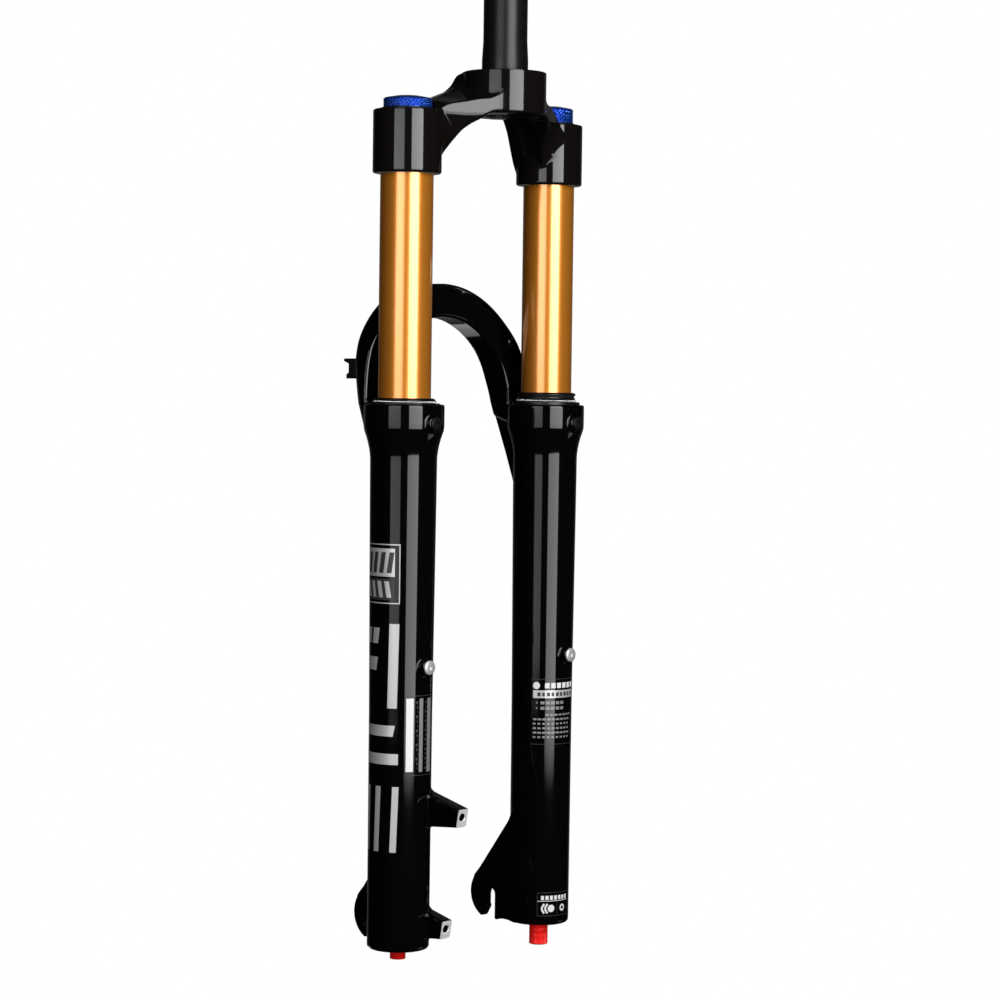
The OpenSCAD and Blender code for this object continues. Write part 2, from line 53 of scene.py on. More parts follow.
# The fork's main places and radii, as in the CAD
LEG_X = 68.0
LEG_Y = 21.0
STANCHION_R = 17.0
STEERER_R = 14.3
STEERER_BORE_R = 11.8
STEERER_TOP = 220.0
COLLAR_TOP = -215.0
FOOT = -564.5
AXLE_Y = 50.0
AXLE_Z = FOOT + 16.5
CLAMP_TOP = -28.0
CLAMP_BOTTOM = -68.5
BOSS_BOTTOM = -28.0
POST_X = -56.5
POST_TILT = math.radians(10.1)
BLEED_Z = COLLAR_TOP - 12
PORT_Z = COLLAR_TOP - 167


# ---------- materials ----------

def principled(name, color, metallic=0.0, roughness=0.5, **more):
    material = bpy.data.materials.new(name)
    material.use_nodes = True
    bsdf = material.node_tree.nodes["Principled BSDF"]
    bsdf.inputs["Base Color"].default_value = (*color, 1)
    bsdf.inputs["Metallic"].default_value = metallic
    bsdf.inputs["Roughness"].default_value = roughness
    for key, value in more.items():
        bsdf.inputs[key.replace("_", " ")].default_value = value
    return material


def add_bump(material, scale, strength, distance_mm, detail=2.0, stretch=(1, 1, 1)):
    """A fine noise bump, in object coordinates, scale in features per metre."""
    tree = material.node_tree
    bsdf = tree.nodes["Principled BSDF"]
    coords = tree.nodes.new("ShaderNodeTexCoord")
    mapping = tree.nodes.new("ShaderNodeMapping")
    mapping.inputs["Scale"].default_value = stretch
    noise = tree.nodes.new("ShaderNodeTexNoise")
    noise.inputs["Scale"].default_value = scale
    noise.inputs["Detail"].default_value = detail
    bump = tree.nodes.new("ShaderNodeBump")
    bump.inputs["Strength"].default_value = strength
    bump.inputs["Distance"].default_value = distance_mm * MM
    tree.links.new(coords.outputs["Object"], mapping.inputs["Vector"])
    tree.links.new(mapping.outputs["Vector"], noise.inputs["Vector"])
    tree.links.new(noise.outputs["Fac"], bump.inputs["Height"])
    tree.links.new(bump.outputs["Normal"], bsdf.inputs["Normal"])
    return material


PAINT = add_bump(principled("black_paint", (0.0010, 0.0010, 0.0011), 0.0, 0.05, IOR=1.5), 700, 0.10, 0.02)
CROWN_BLACK = add_bump(principled("crown_black", (0.0060, 0.0050, 0.0044), 0.0, 0.07, IOR=1.52),
                       500, 0.10, 0.02)
STEERER_BLACK = add_bump(principled("steerer_black", (0.008, 0.008, 0.0083), 0.3, 0.31),
                         2600, 0.35, 0.04, 3.0)
GOLD = principled("gold_anodised", (0.96, 0.335, 0.033), 0.62, 0.28,
                  Coat_Weight=1.0, Coat_IOR=1.8, Coat_Roughness=0.15)
BLUE = principled("blue_anodised", (0.025, 0.115, 0.60), 0.8, 0.17, Coat_Weight=0.4, Coat_Roughness=0.08)
# Red anodised finish with a painted glow: its red emission brightens the rebound knob and the foot bolt in
# place of light, though neither is a lamp
RED_WITH_PAINTED_GLOW = principled("red_anodised", (0.95, 0.018, 0.013), 0.45, 0.22, Coat_Weight=0.6, Coat_Roughness=0.12,
                 Emission_Color=(0.9, 0.012, 0.009, 1), Emission_Strength=0.16)
BARE = add_bump(principled("machined_aluminium", (0.88, 0.88, 0.89), 0.9, 0.34), 900, 0.12, 0.03)
ZINC = principled("zinc_steel", (0.84, 0.84, 0.85), 0.65, 0.42)
DARK_STEEL = principled("black_steel", (0.02, 0.02, 0.022), 0.6, 0.3)
SPRING = principled("bright_spring", (0.92, 0.92, 0.93), 1.0, 0.18)
RUBBER = principled("black_rubber", (0.004, 0.004, 0.004), 0.0, 0.32)
PLASTIC = principled("black_plastic", (0.012, 0.012, 0.013), 0.0, 0.35)
BLACK_ANODISED = principled("black_anodised", (0.02, 0.02, 0.022), 0.7, 0.35)
STEEL = principled("ground_steel", (0.62, 0.63, 0.65), 1.0, 0.2)
BRASS = principled("brass", (0.78, 0.57, 0.25), 1.0, 0.25)
SILVER_FILM = principled("silver_film", (0.74, 0.74, 0.75), 0.4, 0.33)
WHITE_FILM = principled("white_film", (0.86, 0.86, 0.86), 0.0, 0.4)
GREY_FILM = principled("grey_film", (0.30, 0.30, 0.305), 0.2, 0.35)
DARK_FILM = principled("dark_film", (0.045, 0.045, 0.046), 0.1, 0.35)
FOAM = principled("oiled_foam", (0.045, 0.042, 0.038), 0.0, 0.9)
BUSHING = principled("bushing_bronze", (0.32, 0.24, 0.14), 0.5, 0.45)
GLIDE = principled("glide_ring", (0.62, 0.58, 0.48), 0.0, 0.5)
CASTING_INSIDE = principled("casting_inside", (0.05, 0.05, 0.052), 0.6, 0.4)


# ---------- meshes ----------

def link(obj):
    bpy.context.scene.collection.objects.link(obj)
    return obj


def make_mesh(name, verts_mm, faces, material):
    mesh = bpy.data.meshes.new(name)
    mesh.from_pydata((np.asarray(verts_mm, float) * MM).tolist(), [], [list(map(int, f)) for f in faces])
    mesh.validate()
    mesh.shade_smooth()
    mesh.materials.append(material)
    return link(bpy.data.objects.new(name, mesh))


def set_sharp(obj, degrees=32):
    obj.data.set_sharp_from_angle(angle=math.radians(degrees))
    return obj


def place(obj, body, replaces=()):
    if replaces:
        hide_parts(*replaces)
    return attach(obj, body)


def level_ring(centre, r, z, segments):
    """A ring of points at height z about centre (x, y); r is one radius, or one for each point."""
    angles = np.arange(segments) * TAU / segments
    across = [centre[0] + r * np.cos(angles), centre[1] + r * np.sin(angles)]
    return np.column_stack(across + [np.full(segments, float(z))])


def ring_faces(rings, segments):
    """Quads between each ring of points and the next."""
    faces = []
    for i in range(rings - 1):
        a, b = i * segments, (i + 1) * segments
        for s in range(segments):
            t = (s + 1) % segments
            faces.append((a + s, a + t, b + t, b + s))
    return faces


def tidy_normals(obj, weld=0.0):
    """Turns the faces outward, after welding any points that are closer than weld."""
    bm = bmesh.new()
    bm.from_mesh(obj.data)
    if weld:
        bmesh.ops.remove_doubles(bm, verts=bm.verts, dist=weld)
    bmesh.ops.recalc_face_normals(bm, faces=bm.faces)
    bm.to_mesh(obj.data)
    bm.free()


AXIS_WELD = 1e-6


def lathe(profile, centre, material, name, segments=192):
    """A profile of (r, z) turned about a vertical axis at centre (x, y)."""
    verts = np.concatenate([level_ring(centre, r, z, segments) for r, z in profile])
    obj = make_mesh(name, verts, ring_faces(len(profile), segments), material)
    tidy_normals(obj, AXIS_WELD)
    return set_sharp(obj)


def bevelled(profile, size=0.4, steps=3):
    """Rounds the inner corners of an open (r, z) profile."""
    profile = [np.array(p, float) for p in profile]
    out = [profile[0]]
    for before, corner, after in zip(profile, profile[1:], profile[2:]):
        d0, d1 = before - corner, after - corner
        l0, l1 = np.linalg.norm(d0), np.linalg.norm(d1)
        if l0 < 1e-9 or l1 < 1e-9:
            continue
        cut = min(size, 0.45 * l0, 0.45 * l1)
        p0, p1 = corner + d0 / l0 * cut, corner + d1 / l1 * cut
        for i in range(steps + 1):
            t = i / steps
            out.append((1 - t) ** 2 * p0 + 2 * t * (1 - t) * corner + t * t * p1)
    out.append(profile[-1])
    return out


# ---------- distance fields ----------

def union_round(a, b, r):
    u, v = np.maximum(r - a, 0), np.maximum(r - b, 0)
    return np.maximum(r, np.minimum(a, b)) - np.sqrt(u * u + v * v)


def cut_round(a, b, r):
    """Intersection of a and b with its edges rounded to radius r."""
    u, v = np.maximum(r + a, 0), np.maximum(r + b, 0)
    return np.minimum(-r, np.maximum(a, b)) + np.sqrt(u * u + v * v)


def polygon_field(px, py, points):
    """Signed distance to a closed 2D polygon."""
    points = np.asarray(points, float)
    best = np.full(px.shape, 1e12)
    sign = np.ones(px.shape)
    for a, b in zip(points, np.roll(points, 1, axis=0)):
        e = b - a
        wx, wy = px - a[0], py - a[1]
        t = np.clip((wx * e[0] + wy * e[1]) / (e @ e), 0, 1)
        best = np.minimum(best, (wx - e[0] * t) ** 2 + (wy - e[1] * t) ** 2)
        c1, c2, c3 = py >= a[1], py < b[1], e[0] * wy > e[1] * wx
        sign = np.where((c1 & c2 & c3) | (~c1 & ~c2 & ~c3), -sign, sign)
    return sign * np.sqrt(best)


def slope_plane(u, v, p, q):
    """Distance to the line from p to q in the (u, v) plane, positive on its right-hand side."""
    d = np.array(q, float) - np.array(p, float)
    d /= np.linalg.norm(d)
    return (u - p[0]) * d[1] - (v - p[1]) * d[0]


def smooth_curve(xs, ys, blur):
    """A piecewise-linear curve smoothed by a bell of standard deviation blur, as a function."""
    per_blur, reach = 6, 24
    grid = np.arange(min(xs) - 8 * blur, max(xs) + 8 * blur, blur / per_blur)
    values = np.interp(grid, xs, ys)
    kernel = np.exp(-0.5 * (np.arange(-reach, reach + 1) / per_blur) ** 2)
    kernel /= kernel.sum()
    padded = np.concatenate([np.full(reach, values[0]), values, np.full(reach, values[-1])])
    values = np.convolve(padded, kernel, "valid")
    return lambda x: np.interp(x, grid, values)


def gradient(field, p, h=0.02):
    g = np.empty_like(p)
    for k in range(3):
        step = np.zeros(3)
        step[k] = h
        g[:, k] = (field(p + step) - field(p - step)) / (2 * h)
    return g


def unit(v):
    return v / np.maximum(np.linalg.norm(v, axis=1, keepdims=True), 1e-9)


def levels(*bands):
    """Grid levels from (start, stop, step) bands laid end to end."""
    out = []
    for start, stop, step in bands:
        n = max(1, round(abs(stop - start) / step))
        out.extend(np.linspace(start, stop, n, endpoint=False))
    out.append(bands[-1][1])
    return np.array(out)


BLOCK = 8
BATCH = 200000
NEAR_SURFACE = 1.35


def field_values(field, axes):
    """The field on a grid, worked out only near its surface."""
    shape = tuple(len(a) for a in axes)
    values = np.full(shape, 1.0, np.float32)
    need = np.zeros(shape, bool)
    starts = [range(0, n - 1, BLOCK) for n in shape]
    centres, boxes, reach = [], [], []
    for i in starts[0]:
        i1 = min(i + BLOCK, shape[0] - 1)
        for j in starts[1]:
            j1 = min(j + BLOCK, shape[1] - 1)
            for k in starts[2]:
                k1 = min(k + BLOCK, shape[2] - 1)
                lo = np.array([axes[0][i], axes[1][j], axes[2][k]])
                hi = np.array([axes[0][i1], axes[1][j1], axes[2][k1]])
                centres.append((lo + hi) / 2)
                reach.append(np.linalg.norm(hi - lo) / 2)
                boxes.append((i, i1, j, j1, k, k1))
    at_centre = field(np.array(centres))
    for (i, i1, j, j1, k, k1), value, r in zip(boxes, at_centre, reach):
        if abs(value) <= NEAR_SURFACE * r:
            need[i:i1 + 1, j:j1 + 1, k:k1 + 1] = True
        elif value < 0:
            values[i:i1 + 1, j:j1 + 1, k:k1 + 1] = -1.0
    where = np.nonzero(need)
    found = np.empty(len(where[0]), np.float32)
    for s in range(0, len(found), BATCH):
        part = tuple(w[s:s + BATCH] for w in where)
        points = np.column_stack([axes[a][part[a]] for a in range(3)])
        found[s:s + BATCH] = field(points)
    values[where] = found
    return values


def surface(field, axes, relax=2):
    """Vertices and quads of the field's zero surface: surface nets, then vertices moved onto it."""
    v = field_values(field, axes)
    inside = v < 0
    nx, ny, nz = v.shape
    corners = [(a, b, c) for a in (0, 1) for b in (0, 1) for c in (0, 1)]
    count = sum(inside[a:nx - 1 + a, b:ny - 1 + b, c:nz - 1 + c].astype(np.int8) for a, b, c in corners)
    cell = np.nonzero((count > 0) & (count < 8))
    index = np.full((nx - 1, ny - 1, nz - 1), -1, np.int64)
    index[cell] = np.arange(len(cell[0]))
    total = np.zeros((len(cell[0]), 3))
    hits = np.zeros(len(cell[0]))
    for p in corners:
        for axis in range(3):
            if p[axis]:
                continue
            q = list(p)
            q[axis] = 1
            a = v[cell[0] + p[0], cell[1] + p[1], cell[2] + p[2]].astype(float)
            b = v[cell[0] + q[0], cell[1] + q[1], cell[2] + q[2]].astype(float)
            crossing = (a < 0) != (b < 0)
            t = np.where(crossing, a / np.where(crossing, a - b, 1), 0)
            for k in range(3):
                lo = axes[k][cell[k] + p[k]]
                hi = axes[k][cell[k] + q[k]]
                total[:, k] += np.where(crossing, lo + (hi - lo) * t, 0)
            hits += crossing
    verts = total / hits[:, None]
    quads = []
    for axis in range(3):
        a0 = [slice(1, n - 1) for n in v.shape]
        a1 = list(a0)
        a0[axis] = slice(0, v.shape[axis] - 1)
        a1[axis] = slice(1, v.shape[axis])
        first, second = inside[tuple(a0)], inside[tuple(a1)]
        where = list(np.nonzero(first != second))
        flip = second[tuple(where)]
        for k in range(3):
            if k != axis:
                where[k] = where[k] + 1
        u, w = [k for k in range(3) if k != axis]
        ring = []
        for du, dw in ((-1, -1), (0, -1), (0, 0), (-1, 0)):
            at = [x.copy() for x in where]
            at[u] += du
            at[w] += dw
            ring.append(index[at[0], at[1], at[2]])
        ring = np.stack(ring, 1)
        turn = flip if axis != 1 else ~flip
        ring[turn] = ring[turn][:, ::-1]
        quads.append(ring)
    quads = np.concatenate(quads)
    cell_size = min(np.diff(axes[0]).min(), np.diff(axes[1]).min())
    verts = onto(field, verts, cell_size)
    for _ in range(relax):
        summed = np.zeros_like(verts)
        neighbours = np.zeros(len(verts))
        for c in range(4):
            a, b = quads[:, c], quads[:, (c + 1) % 4]
            np.add.at(summed, a, verts[b])
            np.add.at(summed, b, verts[a])
            np.add.at(neighbours, a, 1)
            np.add.at(neighbours, b, 1)
        verts = verts + 0.5 * (summed / neighbours[:, None] - verts)
        verts = onto(field, verts, cell_size, 2)
    return verts, quads


def onto(field, verts, limit, steps=3):
    """Moves points along the field's gradient until they lie on its surface."""
    for _ in range(steps):
        g = gradient(field, verts)
        move = -field(verts)[:, None] * g / np.maximum((g * g).sum(1), 0.05)[:, None]
        length = np.linalg.norm(move, axis=1, keepdims=True)
        verts = verts + move * np.minimum(1, limit / np.maximum(length, 1e-9))
    return verts


def field_object(name, field, axes, material, triangles):
    """The field's surface as an object, thinned to the given number of triangles."""
    verts, quads = surface(field, axes)
    mesh = bpy.data.meshes.new(name)
    mesh.vertices.add(len(verts))
    mesh.vertices.foreach_set("co", (verts * MM).astype(np.float32).ravel())
    mesh.loops.add(quads.size)
    mesh.loops.foreach_set("vertex_index", quads.astype(np.int32).ravel())
    mesh.polygons.add(len(quads))
    mesh.polygons.foreach_set("loop_start", np.arange(0, quads.size, 4, dtype=np.int32))
    mesh.update(calc_edges=True)
    mesh.validate()
    mesh.materials.append(material)
    obj = link(bpy.data.objects.new(name, mesh))
    if 2 * len(quads) > triangles:
        thin = obj.modifiers.new("thin", "DECIMATE")
        thin.ratio = triangles / (2 * len(quads))
        apply_modifiers(obj)
        co = vertex_array(obj) / MM
        co = onto(field, co, 0.3, 2)
        obj.data.vertices.foreach_set("co", (co * MM).astype(np.float32).ravel())
    return obj


def vertex_array(obj):
    co = np.empty(len(obj.data.vertices) * 3, np.float32)
    obj.data.vertices.foreach_get("co", co)
    return co.reshape(-1, 3).astype(float)


def apply_modifiers(obj):
    deps = bpy.context.evaluated_depsgraph_get()
    deps.update()
    mesh = bpy.data.meshes.new_from_object(obj.evaluated_get(deps), depsgraph=deps)
    old = obj.data
    obj.modifiers.clear()
    obj.data = mesh
    bpy.data.meshes.remove(old)
    return obj


def cut(obj, cutters):
    """Takes the cutters out of obj, their materials going to the faces they leave."""
    for cutter in cutters:
        tool = obj.modifiers.new("cut", "BOOLEAN")
        tool.operation = "DIFFERENCE"
        tool.solver = "EXACT"
        tool.material_mode = "TRANSFER"
        tool.object = cutter
    apply_modifiers(obj)
    for cutter in cutters:
        bpy.data.objects.remove(cutter)
    return obj


def field_normals(obj, field, sharp=35, close=0.03):
    """Shading normals from the field wherever a corner lies on it, so long curved faces reflect cleanly."""
    mesh = obj.data
    mesh.shade_smooth()
    mesh.set_sharp_from_angle(angle=math.radians(sharp))
    co = vertex_array(obj) / MM
    on_field = np.abs(field(co)) < close
    normal = unit(gradient(field, co))
    corner_vertex = np.empty(len(mesh.loops), np.int32)
    mesh.loops.foreach_get("vertex_index", corner_vertex)
    corners = np.empty(len(mesh.loops) * 3, np.float32)
    mesh.corner_normals.foreach_get("vector", corners)
    corners = corners.reshape(-1, 3)
    face_normal = np.empty(len(mesh.polygons) * 3, np.float32)
    mesh.polygons.foreach_get("normal", face_normal)
    face_normal = face_normal.reshape(-1, 3)
    totals = np.empty(len(mesh.polygons), np.int32)
    mesh.polygons.foreach_get("loop_total", totals)
    face_of_corner = np.repeat(np.arange(len(mesh.polygons)), totals)
    wanted = normal[corner_vertex]
    agrees = (wanted * face_normal[face_of_corner]).sum(1) > 0.8
    use = on_field[corner_vertex] & agrees
    corners[use] = wanted[use]
    mesh.normals_split_custom_set(corners.tolist())
    return obj


# ---------- cutters ----------

def move_points(obj, points_mm):
    obj.data.vertices.foreach_set("co", (points_mm * MM).astype(np.float32).ravel())
    obj.data.update()
    tidy_normals(obj)


def rod(name, start, direction, r, length, material, n=64):
    """A closed cylinder of n sides, from start along direction."""
    direction = np.array(direction, float)
    direction /= np.linalg.norm(direction)
    helper = np.array([1.0, 0, 0]) if abs(direction[0]) < 0.9 else np.array([0, 1.0, 0])
    u = np.cross(direction, helper)
    u /= np.linalg.norm(u)
    w = np.cross(direction, u)
    angles = np.arange(n) * TAU / n
    circle = np.cos(angles)[:, None] * u + np.sin(angles)[:, None] * w
    start = np.array(start, float)
    verts = np.concatenate([start + r * circle, start + r * circle + direction * length])
    faces = [tuple(range(n))[::-1], tuple(range(n, 2 * n))]
    faces += [(i, (i + 1) % n, n + (i + 1) % n, n + i) for i in range(n)]
    obj = make_mesh(name, verts, faces, material)
    tidy_normals(obj)
    return obj


def slab(name, centre, half, material, turn_x=0.0):
    """A box, turned about X."""
    c, s = math.cos(turn_x), math.sin(turn_x)
    verts = []
    for x in (-1, 1):
        for y in (-1, 1):
            for z in (-1, 1):
                ly, lz = y * half[1], z * half[2]
                turned_y, turned_z = ly * c - lz * s, ly * s + lz * c
                verts.append((centre[0] + x * half[0], centre[1] + turned_y, centre[2] + turned_z))
    faces = [(0, 1, 3, 2), (4, 6, 7, 5), (0, 4, 5, 1), (2, 3, 7, 6), (0, 2, 6, 4), (1, 5, 7, 3)]
    obj = make_mesh(name, verts, faces, material)
    tidy_normals(obj)
    return obj


# ---------- the lower casting ----------

leg_radius = smooth_curve(
    [FOOT - 20, FOOT, COLLAR_TOP - 198, COLLAR_TOP - 60, COLLAR_TOP - 33.5, COLLAR_TOP - 27.5,
     COLLAR_TOP - 21.5, COLLAR_TOP - 16, COLLAR_TOP + 20],
    [20.0, 20.0, 20.3, 21.3, 21.45, 22.3, 23.8, 25.8, 25.8], 1.6)

ARCH_OUT = 79.4
ARCH_IN = 57.3
ARCH_FOOT = COLLAR_TOP - 74
arch_front = smooth_curve([COLLAR_TOP + h for h in (-90, 2, 16, 36, 80)],
                          [31.4, 63.0, 65.8, 66.5, 71.5], 2.5)
arch_rear = smooth_curve([COLLAR_TOP - 24, COLLAR_TOP - 1.5, COLLAR_TOP + 12, COLLAR_TOP + 80],
                         [1.0, 45.2, 45.6, 50.5], 1.2)
arch_corner = smooth_curve([COLLAR_TOP + h for h in (-40, -25, -11, 2, 15, 28, 41, 54, 67)],
                           [9.0, 12.0, 15.0, 19.0, 18.0, 13.0, 9.0, 5.5, 3.5], 3.0)


def legs_field(x, y, z):
    """One leg with its collar; the caller folds x so that it serves for both."""
    r = np.hypot(x - LEG_X, y - LEG_Y)
    leg = (r - leg_radius(z)) * 0.98
    leg = cut_round(leg, z - COLLAR_TOP, 1.4)
    return cut_round(leg, FOOT - z, 2.6)


def arch_field(x, y, z):
    """The arch over the wheel, with a ledge inside it and a limb down the front of each leg."""
    rho = np.hypot(x, np.maximum(z - COLLAR_TOP, 0))
    drop = np.maximum(COLLAR_TOP - z, 0)
    ledge = COLLAR_TOP - 8 - 0.32 * (AXLE_Y + 6 - y) - z
    step = np.clip(ledge / 1.6, 0, 1)
    shoulder = 1.6 * np.exp(-((np.degrees(np.arctan2(np.maximum(z - COLLAR_TOP, 0), x)) - 28) / 12) ** 2)
    outer = rho - ARCH_OUT - shoulder + 0.18 * drop
    inner = ARCH_IN + 0.03 * drop + 1.2 * step * step * (3 - 2 * step) - rho
    front = (y - arch_front(z)) * 0.92
    rear = (arch_rear(z) - y) * np.interp(z, [COLLAR_TOP - 4, COLLAR_TOP], [0.46, 1.0])
    ring = cut_round(outer, front, arch_corner(z))
    ring = cut_round(ring, rear, 2.4)
    ring = cut_round(ring, inner, np.interp(y, [50, 60], [3.0, 1.5]))
    ring = cut_round(ring, ARCH_FOOT - z, 1.0)
    return np.maximum(ring, LEG_Y - y)


def pocket_field(x, y, z):
    """A shallow pocket along the rear face of each arch limb."""
    up = z - COLLAR_TOP
    rho = np.hypot(x, np.maximum(up, 0))
    along = np.arctan2(up, x)
    band = np.abs(rho - 72) - 4.6
    ends = (np.abs(along - math.radians(49.5)) - math.radians(16.5)) * 72
    shape = cut_round(band, ends, 3.0)
    deep = y - (arch_rear(z) + 2.4)
    return cut_round(shape, deep, 1.2)


SLOT_R = 4.6


def dropout_field(x, y, z):
    """A dropout's plate and the round end about its axle, before the slot."""
    plate = [(LEG_Y + 2, FOOT + 0.8), (AXLE_Y - SLOT_R, FOOT + 1.0), (AXLE_Y, AXLE_Z),
             (AXLE_Y + 14.7, AXLE_Z + 11.2), (32.0, AXLE_Z + 55.3), (LEG_Y + 2, AXLE_Z + 66.6)]
    flat = polygon_field(y, z, plate)
    ball = np.hypot(y - AXLE_Y, z - AXLE_Z - 0.5) - 18.2
    shape = union_round(flat, ball, 1.5)
    return cut_round(shape, np.abs(x - 56.0) - 6.0, 1.4)


def slot_field(y, z):
    """The open axle slot, with a lip at its mouth and a hook that leads the axle in."""
    down = z - AXLE_Z
    hook = np.interp(down, [-30, -17.7, -8.7, -7.3, 0], [16.4, 9.0, 3.6, SLOT_R, SLOT_R])
    way = np.where(y > AXLE_Y, y - AXLE_Y - hook, AXLE_Y - y - SLOT_R)
    hole = np.hypot(y - AXLE_Y, down) - SLOT_R
    return np.minimum(np.maximum(way * 0.9, down), hole)


def mouth_field(x, y, z):
    """The nut seat's open side, below the axle on a dropout's outer face."""
    return np.maximum(np.maximum(57.05 - x, np.abs(y - AXLE_Y) - 11.8), z - AXLE_Z)


def post_field(x, y, z, face):
    """A brake post: its face, a roof that rises to the leg and a floor that falls to it, edges rounded."""
    soft = 1.5
    back = 32.0
    along = np.array([math.sin(POST_TILT), -math.cos(POST_TILT)])
    centre = np.array(face) + np.array([math.cos(POST_TILT), math.sin(POST_TILT)])
    top, low = centre - along * (5.9 - soft), centre + along * (6.6 - soft)
    shape = polygon_field(y, z, [top, low, low + (back, -2.6), top + (back, 8.4)]) - soft
    return cut_round(shape, np.abs(x - POST_X) - 5.0, 1.7)


POST_UPPER = (LEG_Y - 44.7, FOOT + 87.8)
POST_LOWER = (POST_UPPER[0] + 74.2 * math.sin(POST_TILT), POST_UPPER[1] - 74.2 * math.cos(POST_TILT))


def rear_boss(ax, y, z, height, r, reach, edge):
    """A round boss behind the leg that holds a screw."""
    field = cut_round(np.hypot(ax - LEG_X, z - height) - r, (LEG_Y - reach) - y, edge)
    return np.maximum(field, y - LEG_Y)


def lowers_field(p):
    """The lower casting: legs, arch, rear bosses, dropouts and brake posts as one blended shape."""
    x, y, z = p[:, 0], p[:, 1], p[:, 2]
    ax = np.abs(x)
    arch = np.maximum(arch_field(ax, y, z), -pocket_field(ax, y, z))
    out = union_round(legs_field(ax, y, z), arch, 2.4)
    out = union_round(out, rear_boss(ax, y, z, BLEED_Z, 5.6, 28.5, 0.8), 1.2)
    out = union_round(out, rear_boss(ax, y, z, PORT_Z, 5.2, 25.0, 0.7), 1.0)
    drop = np.maximum(dropout_field(ax, y, z), -slot_field(y, z))
    drop = np.maximum(drop, -mouth_field(x, y, z))
    blend = np.clip(np.minimum(AXLE_Y - 9 - y, y - LEG_Y) * 0.4, 0.05, 2.5)
    out = union_round(out, drop, blend)
    posts = np.minimum(post_field(x, y, z, POST_UPPER), post_field(x, y, z, POST_LOWER))
    return union_round(out, posts, 2.4)


# The sampling grid, fine where the casting has detail
XS = levels((-96, -44, 0.95), (-44, 44, 1.1), (44, 96, 0.95))
YS = levels((-29, 78, 0.95))
ZS = levels((FOOT - 3, FOOT + 48, 0.9), (FOOT + 48, FOOT + 70, 1.4), (FOOT + 70, FOOT + 108, 0.95),
            (FOOT + 108, PORT_Z - 8, 3.0), (PORT_Z - 8, PORT_Z + 8, 0.95), (PORT_Z + 8, ARCH_FOOT - 3, 3.0),
            (ARCH_FOOT - 3, COLLAR_TOP - 40, 1.3), (COLLAR_TOP - 40, COLLAR_TOP + 83, 0.9))

lowers = field_object("lower_casting", lowers_field, (XS, YS, ZS), PAINT, 150000)


def bore_cutter(side):
    from_top = ((0, 3), (21.5, 3), (21.5, -7), (20, -7), (20, -13), (18, -13), (18, -38), (18.4, -39),
                (18.4, -149), (18, -150), (18, -175), (17.3, -176))
    from_foot = ((17.3, 32), (16.4, 28), (16.4, 20), (0, 20))
    profile = [(r, COLLAR_TOP + h) for r, h in from_top] + [(r, FOOT + h) for r, h in from_foot]
    return lathe(profile, (side * LEG_X, LEG_Y), CASTING_INSIDE, "bore_cutter", 128)


def foot_cutter(side):
    steps = ((0, -3), (9.5, -3), (9.5, 9), (4.3, 9), (4.3, 22), (0, 22))
    profile = [(r, FOOT + h) for r, h in steps]
    return lathe(profile, (side * LEG_X, LEG_Y), CASTING_INSIDE, "foot_cutter", 96)


def recess_cutter(side):
    """The quick-release nut's seat on a dropout's outer face, with its turned rings."""
    steps = [(0, 8), (12, 8), (12, 0.7), (11.3, 0)]
    for r in (10.2, 8.4, 6.6):
        steps += [(r + 0.25, 0), (r, -0.3), (r - 0.25, 0)]
    obj = lathe(steps + [(0, 0)], (0, 0), PAINT, "recess_cutter", 96)
    co = vertex_array(obj) / MM
    moved = np.column_stack([side * (57 + co[:, 2]), AXLE_Y + co[:, 0], AXLE_Z + co[:, 1]])
    move_points(obj, moved)
    return obj


def post_cutters(face):
    """Machines a post's face and drills its hole, with a chamfer round it."""
    normal = np.array([0, -math.cos(POST_TILT), -math.sin(POST_TILT)])
    centre = np.array([POST_X, face[0], face[1]])
    facing = slab("facing_cutter", centre + normal * 5, (9, 5, 9), BARE, POST_TILT)
    hole = rod("post_hole_cutter", centre - normal * 18, normal, 2.5, 22, PAINT)
    rim = lathe([(0, 0), (2.6, 0), (3.3, 1.2), (0, 1.2)], (0, 0), BARE, "post_rim_cutter", 72)
    co = vertex_array(rim) / MM
    u = np.array([1.0, 0, 0])
    w = np.cross(normal, u)
    moved = centre - normal * 0.65 + co[:, :1] * u + co[:, 1:2] * w + co[:, 2:] * normal
    move_points(rim, moved)
    return [facing, rim, hole]


cutters = [make(side) for make in (bore_cutter, foot_cutter, recess_cutter) for side in (-1, 1)]
cutters += post_cutters(POST_UPPER) + post_cutters(POST_LOWER)
for side in (-1, 1):
    cutters.append(rod("bleed_cutter", (side * LEG_X, LEG_Y - 25.6, BLEED_Z), (0, -1, 0), 4.3, 6, PAINT))
cut(lowers, cutters)
field_normals(lowers, lowers_field)
place(lowers, "lowers", ["lower_legs"])


# ---------- the crown ----------

# Along an arm, by distance from the middle: crest, roof slope, underside and the rear facet's lower edge
crest = smooth_curve([0, 19, 22.4, 27.9, 32.5, 41.7, 50, 53.6, 62, 90],
                     [0.4, 0.2, -6.4, -11.6, -13.6, -17.4, -20.2, -22.0, -29.5, -34], 1.0)
roof_fall = smooth_curve([0, 22, 32, 42, 53, 62, 90], [0.33, 0.29, 0.19, 0.16, 0.13, 0.12, 0.05], 2.0)
underside = smooth_curve([0, 20, 27, 33.3, 39.6, 45.6, 51.2, 55.9, 60, 90],
                         [-27.2, -27.2, -28.4, -33.8, -41.4, -53.4, -63.6, -66.5, -67.0, -67.0], 1.6)
facet_foot = smooth_curve([0, 22, 32, 42, 53, 90], [-26, -26.5, -28, -28.5, -28, -28], 1.6)
BOSS_R = 27.0
CLAMP_R = 22.0


